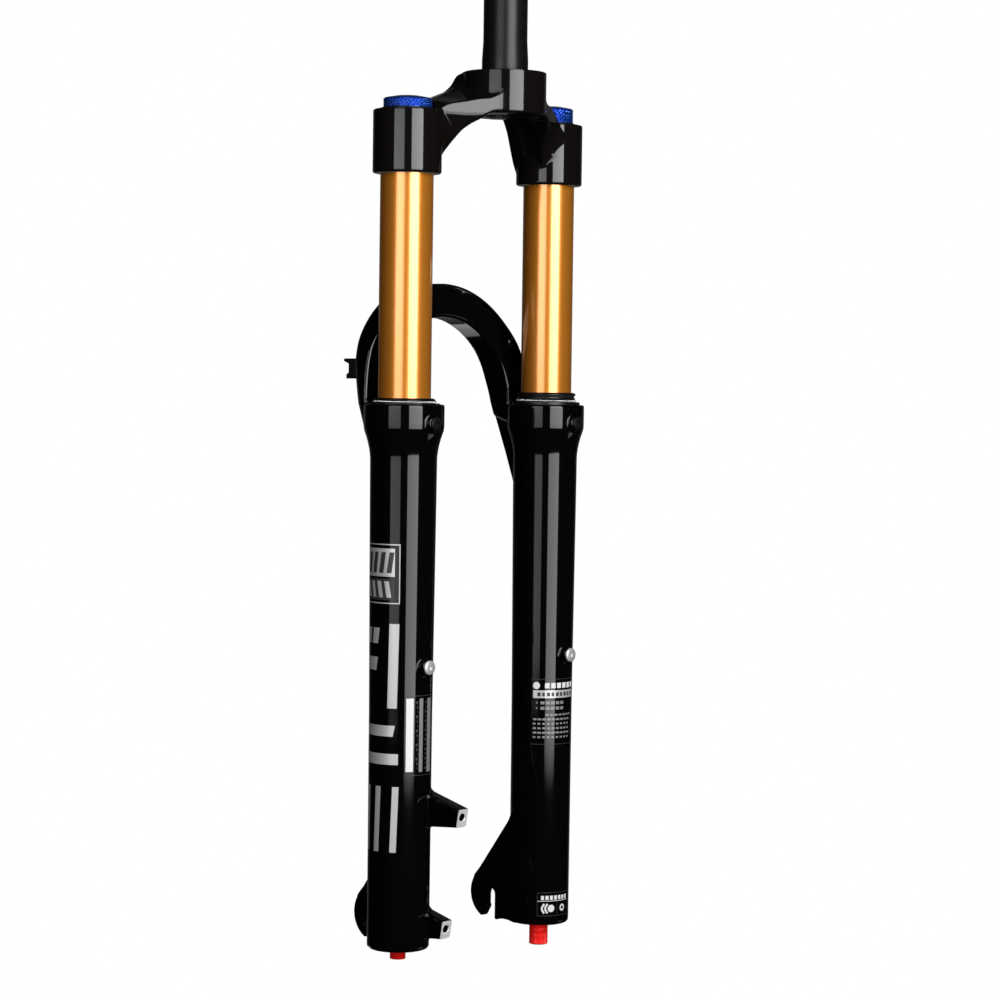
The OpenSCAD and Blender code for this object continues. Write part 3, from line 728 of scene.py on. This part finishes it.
def crown_field(p):
    """The crown: a boss round the steerer, two arms with a scoop under each, and two clamps."""
    x, y, z = np.abs(p[:, 0]), p[:, 1], p[:, 2]
    boss = cut_round(np.hypot(x, y) - BOSS_R, z, 0.7)
    boss = cut_round(boss, BOSS_BOTTOM - z, 2.0)
    clamp = cut_round(np.hypot(x - LEG_X, y - LEG_Y) - CLAMP_R, z - CLAMP_TOP, 1.2)
    clamp = cut_round(clamp, CLAMP_BOTTOM - z, 1.5)
    ridge = 18 + 0.04 * x
    roof = (z - (crest(x) - roof_fall(x) * np.abs(y - ridge) * np.where(y < ridge, 1.0, 0.8))) * 0.78
    floor = underside(x) + np.clip(x - 20, 0, 8) / 8 * 0.14 * np.clip(y + 8, 0, 44)
    tuck = np.maximum(facet_foot(x) - z, 0)
    rear = slope_plane(x, y, (20.9, -17.1), (56.5, 2.8))
    rear = rear + 0.42 * (np.hypot(tuck, 3) - 3) * np.clip((x - 22) / 8, 0, 1)
    front = slope_plane(x, y, (62.0, 42.0), (14.0, 24.5))
    arm = cut_round(roof, rear, 0.9)
    arm = cut_round(arm, front, 2.0)
    turn_under = np.clip((10 - y) / 14, 0, 1) * np.clip((x - 32) / 8, 0, 1)
    arm = cut_round(arm, (floor - z) * 0.62, 1.6 + 4.4 * turn_under)
    arm = np.maximum(arm, np.maximum(x - LEG_X, 8 - x))
    scoop = np.maximum(np.abs(y - (4 + 0.27 * x)) - 8.0, np.abs(x - 43) - 13.0)
    scoop = cut_round(scoop, (z - (floor + 9.0 - 0.12 * x)) * 0.62, 3.0)
    arm = np.maximum(arm, -scoop)
    out = union_round(boss, arm, 1.2)
    below_top = np.clip((CLAMP_TOP - 2 - z) / 8, 0, 1)
    behind = np.clip((16 - y) / 12, 0, 1) * below_top * np.clip((z + 66) / 16, 0, 1)
    return union_round(out, clamp, 1.6 + 6.4 * behind)


CROWN_GRID = tuple(levels((low, high, 0.85)) for low, high in ((-92, 92), (-29, 46), (-72, 2)))
crown = field_object("crown_forging", crown_field, CROWN_GRID, CROWN_BLACK, 120000)
crown_cutters = [rod("steerer_cutter", (0, 0, -40), (0, 0, 1), 14.8, 50, CROWN_BLACK, 128)]
for side in (-1, 1):
    foot = (side * LEG_X, LEG_Y, -80)
    crown_cutters.append(rod("stanchion_cutter", foot, (0, 0, 1), STANCHION_R, 60, CROWN_BLACK, 160))
cut(crown, crown_cutters)
field_normals(crown, crown_field)
place(crown, "crown_unit", ["crown"])


# ---------- tubes ----------

foot = [(STEERER_BORE_R, BOSS_BOTTOM), (14.1, BOSS_BOTTOM), (14.8, BOSS_BOTTOM + 0.8)]
race = [(14.8, 0), (15, 0), (15, 8)]
tube = [(STEERER_R, 20), (STEERER_R, STEERER_TOP - 0.8), (STEERER_R - 0.8, STEERER_TOP)]
steerer_profile = bevelled(foot + race + tube + [(STEERER_BORE_R, STEERER_TOP)], 0.3) + [foot[0]]
steerer = lathe(steerer_profile, (0, 0), STEERER_BLACK, "steerer")
place(steerer, "crown_unit", ["steerer_tube"])

low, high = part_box("stanchion_left")
for side, name in ((-1, "stanchion_left"), (1, "stanchion_right")):
    zs = np.linspace(low.z / MM, high.z / MM, 24)
    bore = [(14.8, zs[-1]), (14.8, zs[0])]
    profile = [(STANCHION_R, z) for z in zs] + bore + [(STANCHION_R, zs[0])]
    tube = lathe(profile, (side * LEG_X, LEG_Y), GOLD, name + "_tube", 256)
    tube.visible_glossy = False
    place(tube, "crown_unit", [name])


# ---------- knurled caps and knobs ----------

def knurled(name, centre, r, z0, z1, material, top, bottom, pitch=2.6, depth=0.9, rows=44, segments=480):
    """A cylinder with a diamond knurl between z0 and z1, closed by (r, z) profiles above and below."""
    turns = round(TAU * r / pitch)
    angles = np.arange(segments) * TAU / segments
    first = len(bottom)
    last = first + rows
    profile = list(bottom) + [(r, z) for z in np.linspace(z0, z1, rows)] + list(top)
    verts = []
    for i, (radius, z) in enumerate(profile):
        rr = np.full(segments, float(radius))
        if first <= i < last:
            fade = min(1, (z - z0) / 0.5, (z1 - z) / 0.5)
            right_hand = np.abs((angles * turns / TAU + z / pitch) % 1 - 0.5) * 2
            left_hand = np.abs((angles * turns / TAU - z / pitch) % 1 - 0.5) * 2
            rr -= depth * (1 - np.minimum(right_hand, left_hand)) * max(fade, 0)
        verts.append(level_ring(centre, rr, z, segments))
    obj = make_mesh(name, np.concatenate(verts), ring_faces(len(profile), segments), material)
    tidy_normals(obj, AXIS_WELD)
    return set_sharp(obj, 20)


KNOB_R = 15.8


def blue_knob(name, side, z_low, height, cavity_r, cavity_h, screw_hole):
    z_top = z_low + height
    over = [(KNOB_R - 0.3, z_top - 0.7), (KNOB_R - 1, z_top), (8, z_top + 1.3)]
    under = [(cavity_r, z_low + cavity_h), (cavity_r, z_low), (KNOB_R - 0.6, z_low), (KNOB_R, z_low + 0.5)]
    if screw_hole:
        over += [(2.6, z_top + 1), (2.6, z_top - 1.5), (1.6, z_top - 1.5)]
        over += [(1.6, z_low + cavity_h), under[0]]
    else:
        over += [(0, z_top + 1)]
        under = [(0, z_low + cavity_h)] + under
    return knurled(name, (side * LEG_X, LEG_Y), KNOB_R, z_low + 0.6, z_top - 0.9, BLUE, over, under)


low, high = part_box("lockout_knob")
cap = blue_knob("air_cap_blue", -1, low.z / MM, 6.5, 9.05, 5.4, False)
place(cap, "valve_cap", ["air_valve_cap"])
knob = blue_knob("lockout_knob_blue", 1, low.z / MM, 10, 3.02, 5, True)
place(knob, "lockout", ["lockout_knob"])

low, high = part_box("rebound_knob")
z_low, z_high = low.z / MM, high.z / MM
top = [(6.0, z_high - 0.1), (5.4, z_high), (2.02, z_high), (2.02, z_high - 8), (0, z_high - 8)]
bottom = [(0, z_low + 0.9), (2.0, z_low + 0.9), (2.2, z_low), (5.6, z_low), (6.1, z_low + 0.3)]
knob = knurled("rebound_knob_red", (LEG_X, LEG_Y), 6.4, z_low + 0.6, z_high - 0.6, RED_WITH_PAINTED_GLOW, top, bottom,
               1.7, 0.6, 120, 288)
place(knob, "rebound", ["rebound_knob"])

low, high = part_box("air_foot_bolt")
z_low = low.z / MM
head = [(0, z_low + 6), (2.9, z_low + 6), (2.9, z_low + 0.6), (3.3, z_low), (5.1, z_low)]
flange = [(r, FOOT + h) for r, h in ((5.1, 3.8), (7.5, 3.8), (7.5, 7.8), (4.0, 7.8), (4.0, 40), (0, 40))]
profile = bevelled(head + flange, 0.5)
bolt = lathe(profile, (-LEG_X, LEG_Y), RED_WITH_PAINTED_GLOW, "air_foot_bolt_red", 96)
place(bolt, "lowers", ["air_foot_bolt"])


# ---------- wipers and their springs ----------

def wiper_profile(lip, groove):
    """Half section of a wiper: its seat in the collar, its flange, the spring's groove and the lip."""
    t, g = COLLAR_TOP, COLLAR_TOP + groove
    shape = [(17.02, t - 7), (21.5, t - 7), (21.5, t), (22.8, t), (22.8, g - 0.9), (19.3, g - 0.8)]
    shape += [(18.95, g - 0.5), (18.95, g + 0.5), (19.5, g + 0.9)]
    if lip - groove > 4:
        shape += [(19.8, g + 1.2), (19.1, g + 2.0), (19.0, g + 2.7)]
    shape += [(20.0, t + lip - 1.6), (20.0, t + lip - 0.9), (18.4, t + lip), (17.02, t + lip)]
    return bevelled(shape, 0.3) + [shape[0]]


WIPERS = ((-1, "left", 3.8, 1.5), (1, "right", 8.2, 2.8))
for side, label, lip, groove in WIPERS:
    seal = lathe(wiper_profile(lip, groove), (side * LEG_X, LEG_Y), RUBBER, "wiper_lip_" + label, 192)
    place(seal, "lowers", ["wiper_seal_" + label])


def garter(name, centre, z, big=19.7, coil=0.55, wire=0.2, coils=190, steps=10, around=6):
    """A fine coiled wire spring closed into a ring."""
    n = coils * steps
    t = np.arange(n) * TAU / n

    def path(s):
        r = big + coil * np.cos(s * coils)
        return np.column_stack([r * np.cos(s), r * np.sin(s), coil * np.sin(s * coils)])

    p = path(t)
    d = unit(path(t + 1e-4) - path(t - 1e-4))
    centre_line = np.column_stack([big * np.cos(t), big * np.sin(t), np.zeros(n)])
    u = unit(p - centre_line)
    w = np.cross(d, u)
    turns = [k * TAU / around for k in range(around)]
    rings = [p + wire * (math.cos(turn) * u + math.sin(turn) * w) for turn in turns]
    verts = np.stack(rings, 1).reshape(-1, 3) + np.array([centre[0], centre[1], z])
    faces = []
    for i in range(n):
        j = (i + 1) % n
        for k in range(around):
            k1 = (k + 1) % around
            faces.append((i * around + k, i * around + k1, j * around + k1, j * around + k))
    return make_mesh(name, verts, faces, SPRING)


for side, label, lip, groove in WIPERS:
    spring = garter("garter_spring_" + label, (side * LEG_X, LEG_Y), COLLAR_TOP + groove)
    place(spring, "lowers", ["wiper_springs"] if side < 0 else [])


# ---------- screws ----------

def rear_screw(name, centre, face_y, head, socket, shank, dome, material, slot, replaces):
    """A socket screw facing the rear. head and shank are (radius, length); dome is its crown's height."""
    head_r, head_h = head
    shank_r, shank_h = shank
    profile = [(0, -1.1), (socket * 0.95, -1.1), (socket, 0.0)]
    for turn in np.linspace(0.15, 1, 9) * math.pi / 2:
        profile.append((socket + (head_r - socket) * math.sin(turn), -dome * (1 - math.cos(turn))))
    profile += [(head_r, -head_h), (shank_r, -head_h), (shank_r, -head_h - shank_h), (0, -head_h - shank_h)]
    obj = lathe(profile, (0, 0), material, name, 96)
    co = vertex_array(obj) / MM
    r = np.hypot(co[:, 0], co[:, 1])
    a = np.arctan2(co[:, 1], co[:, 0])
    inside = (r < socket * 1.02) & (co[:, 2] > -1.3)
    flat = math.cos(math.pi / 6) / np.cos((a % (math.pi / 3)) - math.pi / 6)
    scale = np.where(inside, flat, 1.0)
    moved = np.column_stack([centre[0] + co[:, 0] * scale, face_y - co[:, 2], centre[1] + co[:, 1] * scale])
    move_points(obj, moved)
    set_sharp(obj)
    return place(obj, "lowers", replaces)


SCREWS = (("bleed_screw", BLEED_Z, LEG_Y - 29.4, (4.0, 3.4), 1.9, (2.4, 3), 0.4, DARK_STEEL, "black_steel"),
          ("port_screw", PORT_Z, LEG_Y - 26.6, (4.6, 1.9), 1.5, (2.4, 4), 1.0, ZINC, "zinc_steel"))
for side, label in ((-1, "left"), (1, "right")):
    for kind, z, *shape in SCREWS:
        rear_screw(f"{kind}_{label}", (side * LEG_X, z), *shape, [kind + "s"] if side < 0 else [])


# ---------- labels on the legs: plain bars and shapes, no lettering ----------

LABEL_AZ = math.radians(-47.5)
MM_PER_DEGREE = math.radians(1) * 20.6


class Label:
    """Flat shapes laid on a leg as (turn in degrees from LABEL_AZ, height) points, wrapped round it."""

    def __init__(self, side, lift=0.05):
        self.side = side
        self.lift = lift
        self.verts = []
        self.faces = []

    def grid(self, turns, heights):
        rows, cols = turns.shape
        start = len(self.verts)
        az = LABEL_AZ + np.radians(turns.ravel())
        z = heights.ravel()
        r = leg_radius(z) + self.lift
        x = self.side * LEG_X + r * np.sin(az)
        y = LEG_Y - r * np.cos(az)
        self.verts += np.column_stack([x, y, z]).tolist()
        for i in range(rows - 1):
            for j in range(cols - 1):
                a = start + i * cols + j
                self.faces.append((a, a + 1, a + cols + 1, a + cols))

    def bar(self, turn0, turn1, z0, z1, lean=0.0):
        """A bar whose top end z0 leans by the given turn from its bottom end z1."""
        across = np.linspace(0, 1, max(2, math.ceil(abs(turn1 - turn0) / 2.5) + 1))
        down = np.linspace(0, 1, max(2, math.ceil(abs(z1 - z0) / 6) + 1))
        u, v = np.meshgrid(across, down)
        self.grid(turn0 + (turn1 - turn0) * u + lean * (1 - v), z0 + (z1 - z0) * v)

    def row(self, turns, width, z0, z1, lean=0.0):
        """A bar of the given width at each turn."""
        for turn in turns:
            self.bar(turn, turn + width, z0, z1, lean)

    def ribbon(self, points):
        """A stroke along (turn, z, width in mm) points, its corners rounded."""
        path = np.array(points, float)
        for _ in range(3):
            near, far = 0.75 * path[:-1] + 0.25 * path[1:], 0.25 * path[:-1] + 0.75 * path[1:]
            inner = np.stack([near, far], 1).reshape(-1, 3)
            path = np.concatenate([path[:1], inner, path[-1:]])
        along = np.gradient(path[:, :2] * (MM_PER_DEGREE, 1), axis=0)
        normal = np.column_stack([-along[:, 1], along[:, 0]])
        normal /= np.linalg.norm(normal, axis=1, keepdims=True)
        across = np.linspace(-0.5, 0.5, 5)
        turns = path[:, :1] + normal[:, :1] * path[:, 2:] * across / MM_PER_DEGREE
        heights = path[:, 1:2] + normal[:, 1:] * path[:, 2:] * across
        self.grid(turns, heights)

    def disc(self, turn, z, r, hole=0.0):
        angles, radii = np.meshgrid(np.linspace(0, TAU, 33), (hole, r))
        self.grid(turn + radii * np.cos(angles) / MM_PER_DEGREE, z + radii * np.sin(angles))

    def done(self, name, material):
        place(make_mesh(name, self.verts, self.faces, material), "lowers")


left_silver = Label(-1)
for z in (-303.9, -341.2):
    left_silver.bar(-85, -1.6, z + 0.35, z - 0.35)
left_silver.bar(-3.4, -1.6, -303.6, -341.5)
left_silver.bar(-85, -11, -306.4, -324.3)
left_silver.bar(-80, -66, -357, -367, 4)
left_silver.bar(-60, -44, -357, -367, 4)
left_silver.bar(-85, -48, -375.6, -384.2, 4)
left_silver.bar(-23, -5, -354.2, -408, 3)
left_silver.bar(-85, -12, -419, -426, 4)
left_silver.bar(-85, -1.8, -437, -444)
left_silver.row((-81, -51, -16), 12, -458, -500, 4)
left_silver.done("left_label_silver", SILVER_FILM)

left_dark = Label(-1)
left_dark.bar(-85, -11, -325.6, -339.2)
left_dark.done("left_label_dark", DARK_FILM)

left_marks = Label(-1, 0.09)
left_marks.row(range(-74, -25, 16), 9, -308.8, -322, 5)
left_marks.done("left_label_marks", DARK_FILM)

left_tabs = Label(-1, 0.09)
left_tabs.row(range(-74, -25, 16), 9, -327.2, -337.6, -5)
left_tabs.done("left_label_tabs", SILVER_FILM)

sticker = Label(-1)
sticker.bar(12, 26, -401.6, -448.4)
sticker.done("sticker_white", WHITE_FILM)

sticker = Label(-1)
sticker.bar(38, 46.5, -401.8, -448.8)
sticker.bar(58.5, 71.5, -402, -449.2)
sticker.done("sticker_grey", GREY_FILM)

sticker = Label(-1, 0.09)
for step in range(15):
    z = -403.5 - 3.0 * step
    sticker.bar(31 + 1.5 * (step % 3), 35, z, z - 1.7)
    sticker.bar(51.5 + 1.5 * (step % 2), 55.5, z, z - 1.7)
sticker.bar(9.4, 76, -399.9, -400.3)
sticker.bar(9.4, 76, -450.6, -451.0)
sticker.done("sticker_lines", DARK_FILM)

notice = Label(1)
notice.disc(-11, -402.6, 2.4)
notice.row(range(5, 66, 12), 9, -400.8, -404.4)
notice.done("notice_white", WHITE_FILM)

notice = Label(1)
notice.bar(-17.3, 74, -405.8, -411)
notice.done("notice_band", SILVER_FILM)

notice = Label(1, 0.09)
for turn in range(-9, 70, 9):
    notice.bar(turn, turn + 5 + turn % 2, -407.2, -409.8)
notice.done("notice_band_marks", DARK_FILM)

notice = Label(1)
for z in (-413.2, -416.8):
    notice.disc(-10, z - 0.9, 0.6)
    notice.row(range(-3, 44, 10), 7.5, z, z - 2.0)
for row in range(6):
    z = -421.6 - 3.0 * row
    for turn in range(-17 + (24 if row == 0 else 0), 62, 9):
        notice.bar(turn, turn + 5 + (turn + row) % 3, z, z - 1.3)
notice.done("notice_grey", GREY_FILM)

notice = Label(1)
for z in (-398.2, -441.8):
    notice.bar(-21.6, 72, z, z - 0.35)
for z in (-542.0, -557.6):
    notice.bar(-4.5, 68, z, z - 0.3)
for turn in (-4.5, 36):
    notice.bar(turn, turn + 0.9, -542 if turn < 0 else -548.6, -557.6)
notice.done("notice_frames", DARK_FILM)

scale = Label(1)
scale.bar(-4.4, 67, -547.6, -548.0)
scale.row(range(3, 60, 9), 6, -544.2, -547.0)
for turn in (3.5, 10):
    scale.ribbon([(turn + 6, -549.6, 1.3), (turn, -552.8, 1.3), (turn + 6, -556, 1.3)])
scale.disc(23.5, -552.8, 2.5)
scale.disc(50, -552.8, 2.4, 1.2)
scale.done("rebound_scale", WHITE_FILM)


# ---------- CAD nodes shown as they are ----------

FINISHES = {
    BLACK_ANODISED: ("air_top_cap", "damper_top_cap", "compression_tube", "air_piston", "air_seal_head"),
    BRASS: ("air_valve_core", "air_valve_pin", "lockout_plate", "rebound_shims"),
    DARK_STEEL: ("lockout_knob_screw", "damper_foot_bolt", "seal_head_clips"),
    PLASTIC: ("hose_guide", "damper_seal_head"),
    ZINC: ("hose_guide_screw", "crush_washers"),
    STEEL: ("lockout_shaft", "air_shaft", "damper_shaft", "rebound_rod"),
    BARE: ("compression_valve", "rebound_piston"),
    RUBBER: ("top_cap_o_rings", "topout_bumpers", "bottom_out_bumpers", "air_piston_seal"),
    GLIDE: ("piston_glide_ring",),
    FOAM: ("foam_rings",),
}
FINISH_OF = {name: material for material, names in FINISHES.items() for name in names}
for name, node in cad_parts.items():
    if node.hide_render:
        continue
    material = FINISH_OF.get(name, BUSHING if "bushing" in name else PLASTIC)
    node.data.materials.clear()
    node.data.materials.append(material)
    node.data.shade_smooth()
    node.data.set_sharp_from_angle(angle=math.radians(30))


# ---------- light, backdrop and camera ----------

VIEW_AZ = math.radians(-47.512)
VIEW_EL = math.radians(2.345)
VIEW_ROLL = math.radians(0.764)
VIEW_FROM = Vector((-1.394169, -1.277673, -0.199525))
VIEW_LENS = 104.553


def toward(az, el):
    return Vector((math.sin(az) * math.cos(el), -math.cos(az) * math.cos(el), math.sin(el)))


def math_node(tree, operation, a, b):
    node = tree.nodes.new("ShaderNodeMath")
    node.operation = operation
    for socket, value in zip(node.inputs, (a, b)):
        if isinstance(value, (int, float)):
            socket.default_value = value
        else:
            tree.links.new(value, socket)
    return node.outputs[0]


def ramp(tree, value, stops):
    """A piecewise-linear curve of (in, out) stops as a chain of nodes."""
    total = stops[0][1]
    for (x0, y0), (x1, y1) in zip(stops, stops[1:]):
        span = tree.nodes.new("ShaderNodeMapRange")
        span.inputs["From Min"].default_value = x0
        span.inputs["From Max"].default_value = x1
        span.inputs["To Min"].default_value = 0.0
        span.inputs["To Max"].default_value = y1 - y0
        tree.links.new(value, span.inputs["Value"])
        total = math_node(tree, "ADD", total, span.outputs[0])
    return total


def panel(name, place_at, aim_at, width, height, strength, across=None, upward=None, only=None):
    """A flat light of the given radiance, with optional brightness curves; it may light one object only."""
    light = bpy.data.lights.new(name, "AREA")
    light.shape = "RECTANGLE"
    light.size = width
    light.size_y = height
    light.energy = strength * width * height * math.pi
    if across or upward:
        light.use_nodes = True
        tree = light.node_tree
        face = tree.nodes.new("ShaderNodeNewGeometry")
        split = tree.nodes.new("ShaderNodeSeparateXYZ")
        tree.links.new(face.outputs["Parametric"], split.inputs[0])
        level = 1.0
        if across:
            level = ramp(tree, split.outputs[0], across)
        if upward:
            level = math_node(tree, "MULTIPLY", level, ramp(tree, split.outputs[1], upward))
        tree.links.new(level, tree.nodes["Emission"].inputs["Strength"])
    obj = link(bpy.data.objects.new(name, light))
    facing = (Vector(aim_at) - Vector(place_at)).normalized()
    side_axis = facing.cross(Vector((0, 0, 1))).normalized()
    basis = Matrix((side_axis, side_axis.cross(facing), -facing)).transposed()
    obj.matrix_world = Matrix.Translation(Vector(place_at)) @ basis.to_4x4()
    obj.visible_camera = False
    if only:
        obj.light_linking.receiver_collection = bpy.data.collections.new(name + "_receivers")
        obj.light_linking.receiver_collection.objects.link(only)
    return obj


BOX_LOW = -0.72
BOX_HIGH = 1.3
BOX_REACH = 1.8


def softbox(name, left_deg, right_deg, strength, across, upward):
    """An upright panel between two azimuths from the camera's side; upward is in (z, level) stops."""
    def corner(deg):
        az = VIEW_AZ + math.radians(deg)
        return Vector((math.sin(az), -math.cos(az), 0)) * BOX_REACH
    a, b = corner(left_deg), corner(right_deg)
    mid = (a + b) / 2
    mid.z = (BOX_LOW + BOX_HIGH) / 2
    height = BOX_HIGH - BOX_LOW
    stops = [((z - BOX_LOW) / height, level) for z, level in upward]
    return panel(name, mid, (0, 0, mid.z), (b - a).length, height, strength, across, stops)


softbox("key_box", 14, 53, 3.3, [(0, 0.92), (1, 1.25)],
        [(BOX_LOW, 0), (-0.65, 1), (-0.3, 1.05), (-0.2, 1.35), (0.1, 1.85), (0.2, 1.7), (BOX_HIGH, 1.6)])
softbox("fill_box", -43, -9.5, 1.5, [(0, 1.0), (1, 0.9)],
        [(BOX_LOW, 0), (-0.64, 0), (-0.57, 0.85), (-0.25, 1.0), (-0.15, 2.1), (0.0, 2.1), (0.1, 1.9),
         (0.2, 1.1), (BOX_HIGH, 1.0)])
post_az = VIEW_AZ + math.radians(97)
post_light = (BOX_REACH * math.sin(post_az), -BOX_REACH * math.cos(post_az), -1.30)
panel("post_kicker", post_light, (-0.05, 0, -0.52), width=0.7, height=0.42, strength=0.95, only=lowers)
panel("arch_kicker", (0.31, 1.10, -1.05), (0, 0.06, -0.16), width=0.95, height=0.3, strength=1.0,
      across=[(0, 1), (1, 1)], only=lowers)

world = bpy.data.worlds.new("studio")
bpy.context.scene.world = world
world.use_nodes = True
tree = world.node_tree
tree.nodes.clear()
path_node = tree.nodes.new("ShaderNodeLightPath")
seen = tree.nodes.new("ShaderNodeBackground")
seen.inputs["Color"].default_value = (1, 1, 1, 1)
ahead = tree.nodes.new("ShaderNodeVectorMath")
ahead.operation = "DOT_PRODUCT"
ahead.inputs[1].default_value = -toward(VIEW_AZ, VIEW_EL)
direction = tree.nodes.new("ShaderNodeTexCoord")
tree.links.new(direction.outputs["Generated"], ahead.inputs[0])
unseen = tree.nodes.new("ShaderNodeBackground")
level = ramp(tree, ahead.outputs["Value"], [(-1, 0.0035), (0.7, 0.0036), (0.95, 0.12)])
tree.links.new(level, unseen.inputs["Strength"])
mix = tree.nodes.new("ShaderNodeMixShader")
out = tree.nodes.new("ShaderNodeOutputWorld")
tree.links.new(path_node.outputs["Is Camera Ray"], mix.inputs[0])
tree.links.new(unseen.outputs[0], mix.inputs[1])
tree.links.new(seen.outputs[0], mix.inputs[2])
tree.links.new(mix.outputs[0], out.inputs[0])

camera = link(bpy.data.objects.new("camera", bpy.data.cameras.new("camera")))
camera.data.sensor_width = 36
camera.data.lens = VIEW_LENS
camera.data.clip_end = 20
back = toward(VIEW_AZ, VIEW_EL)
right = (-back).cross(Vector((0, 0, 1))).normalized()
up = right.cross(-back)
rolled_right = math.cos(VIEW_ROLL) * right + math.sin(VIEW_ROLL) * up
rolled_up = -math.sin(VIEW_ROLL) * right + math.cos(VIEW_ROLL) * up
axes = Matrix((rolled_right, rolled_up, back)).transposed().to_4x4()
camera.matrix_world = Matrix.Translation(VIEW_FROM) @ axes
bpy.context.scene.camera = camera
bpy.context.scene.view_settings.view_transform = "Standard"
bpy.context.scene.view_settings.look = "None"
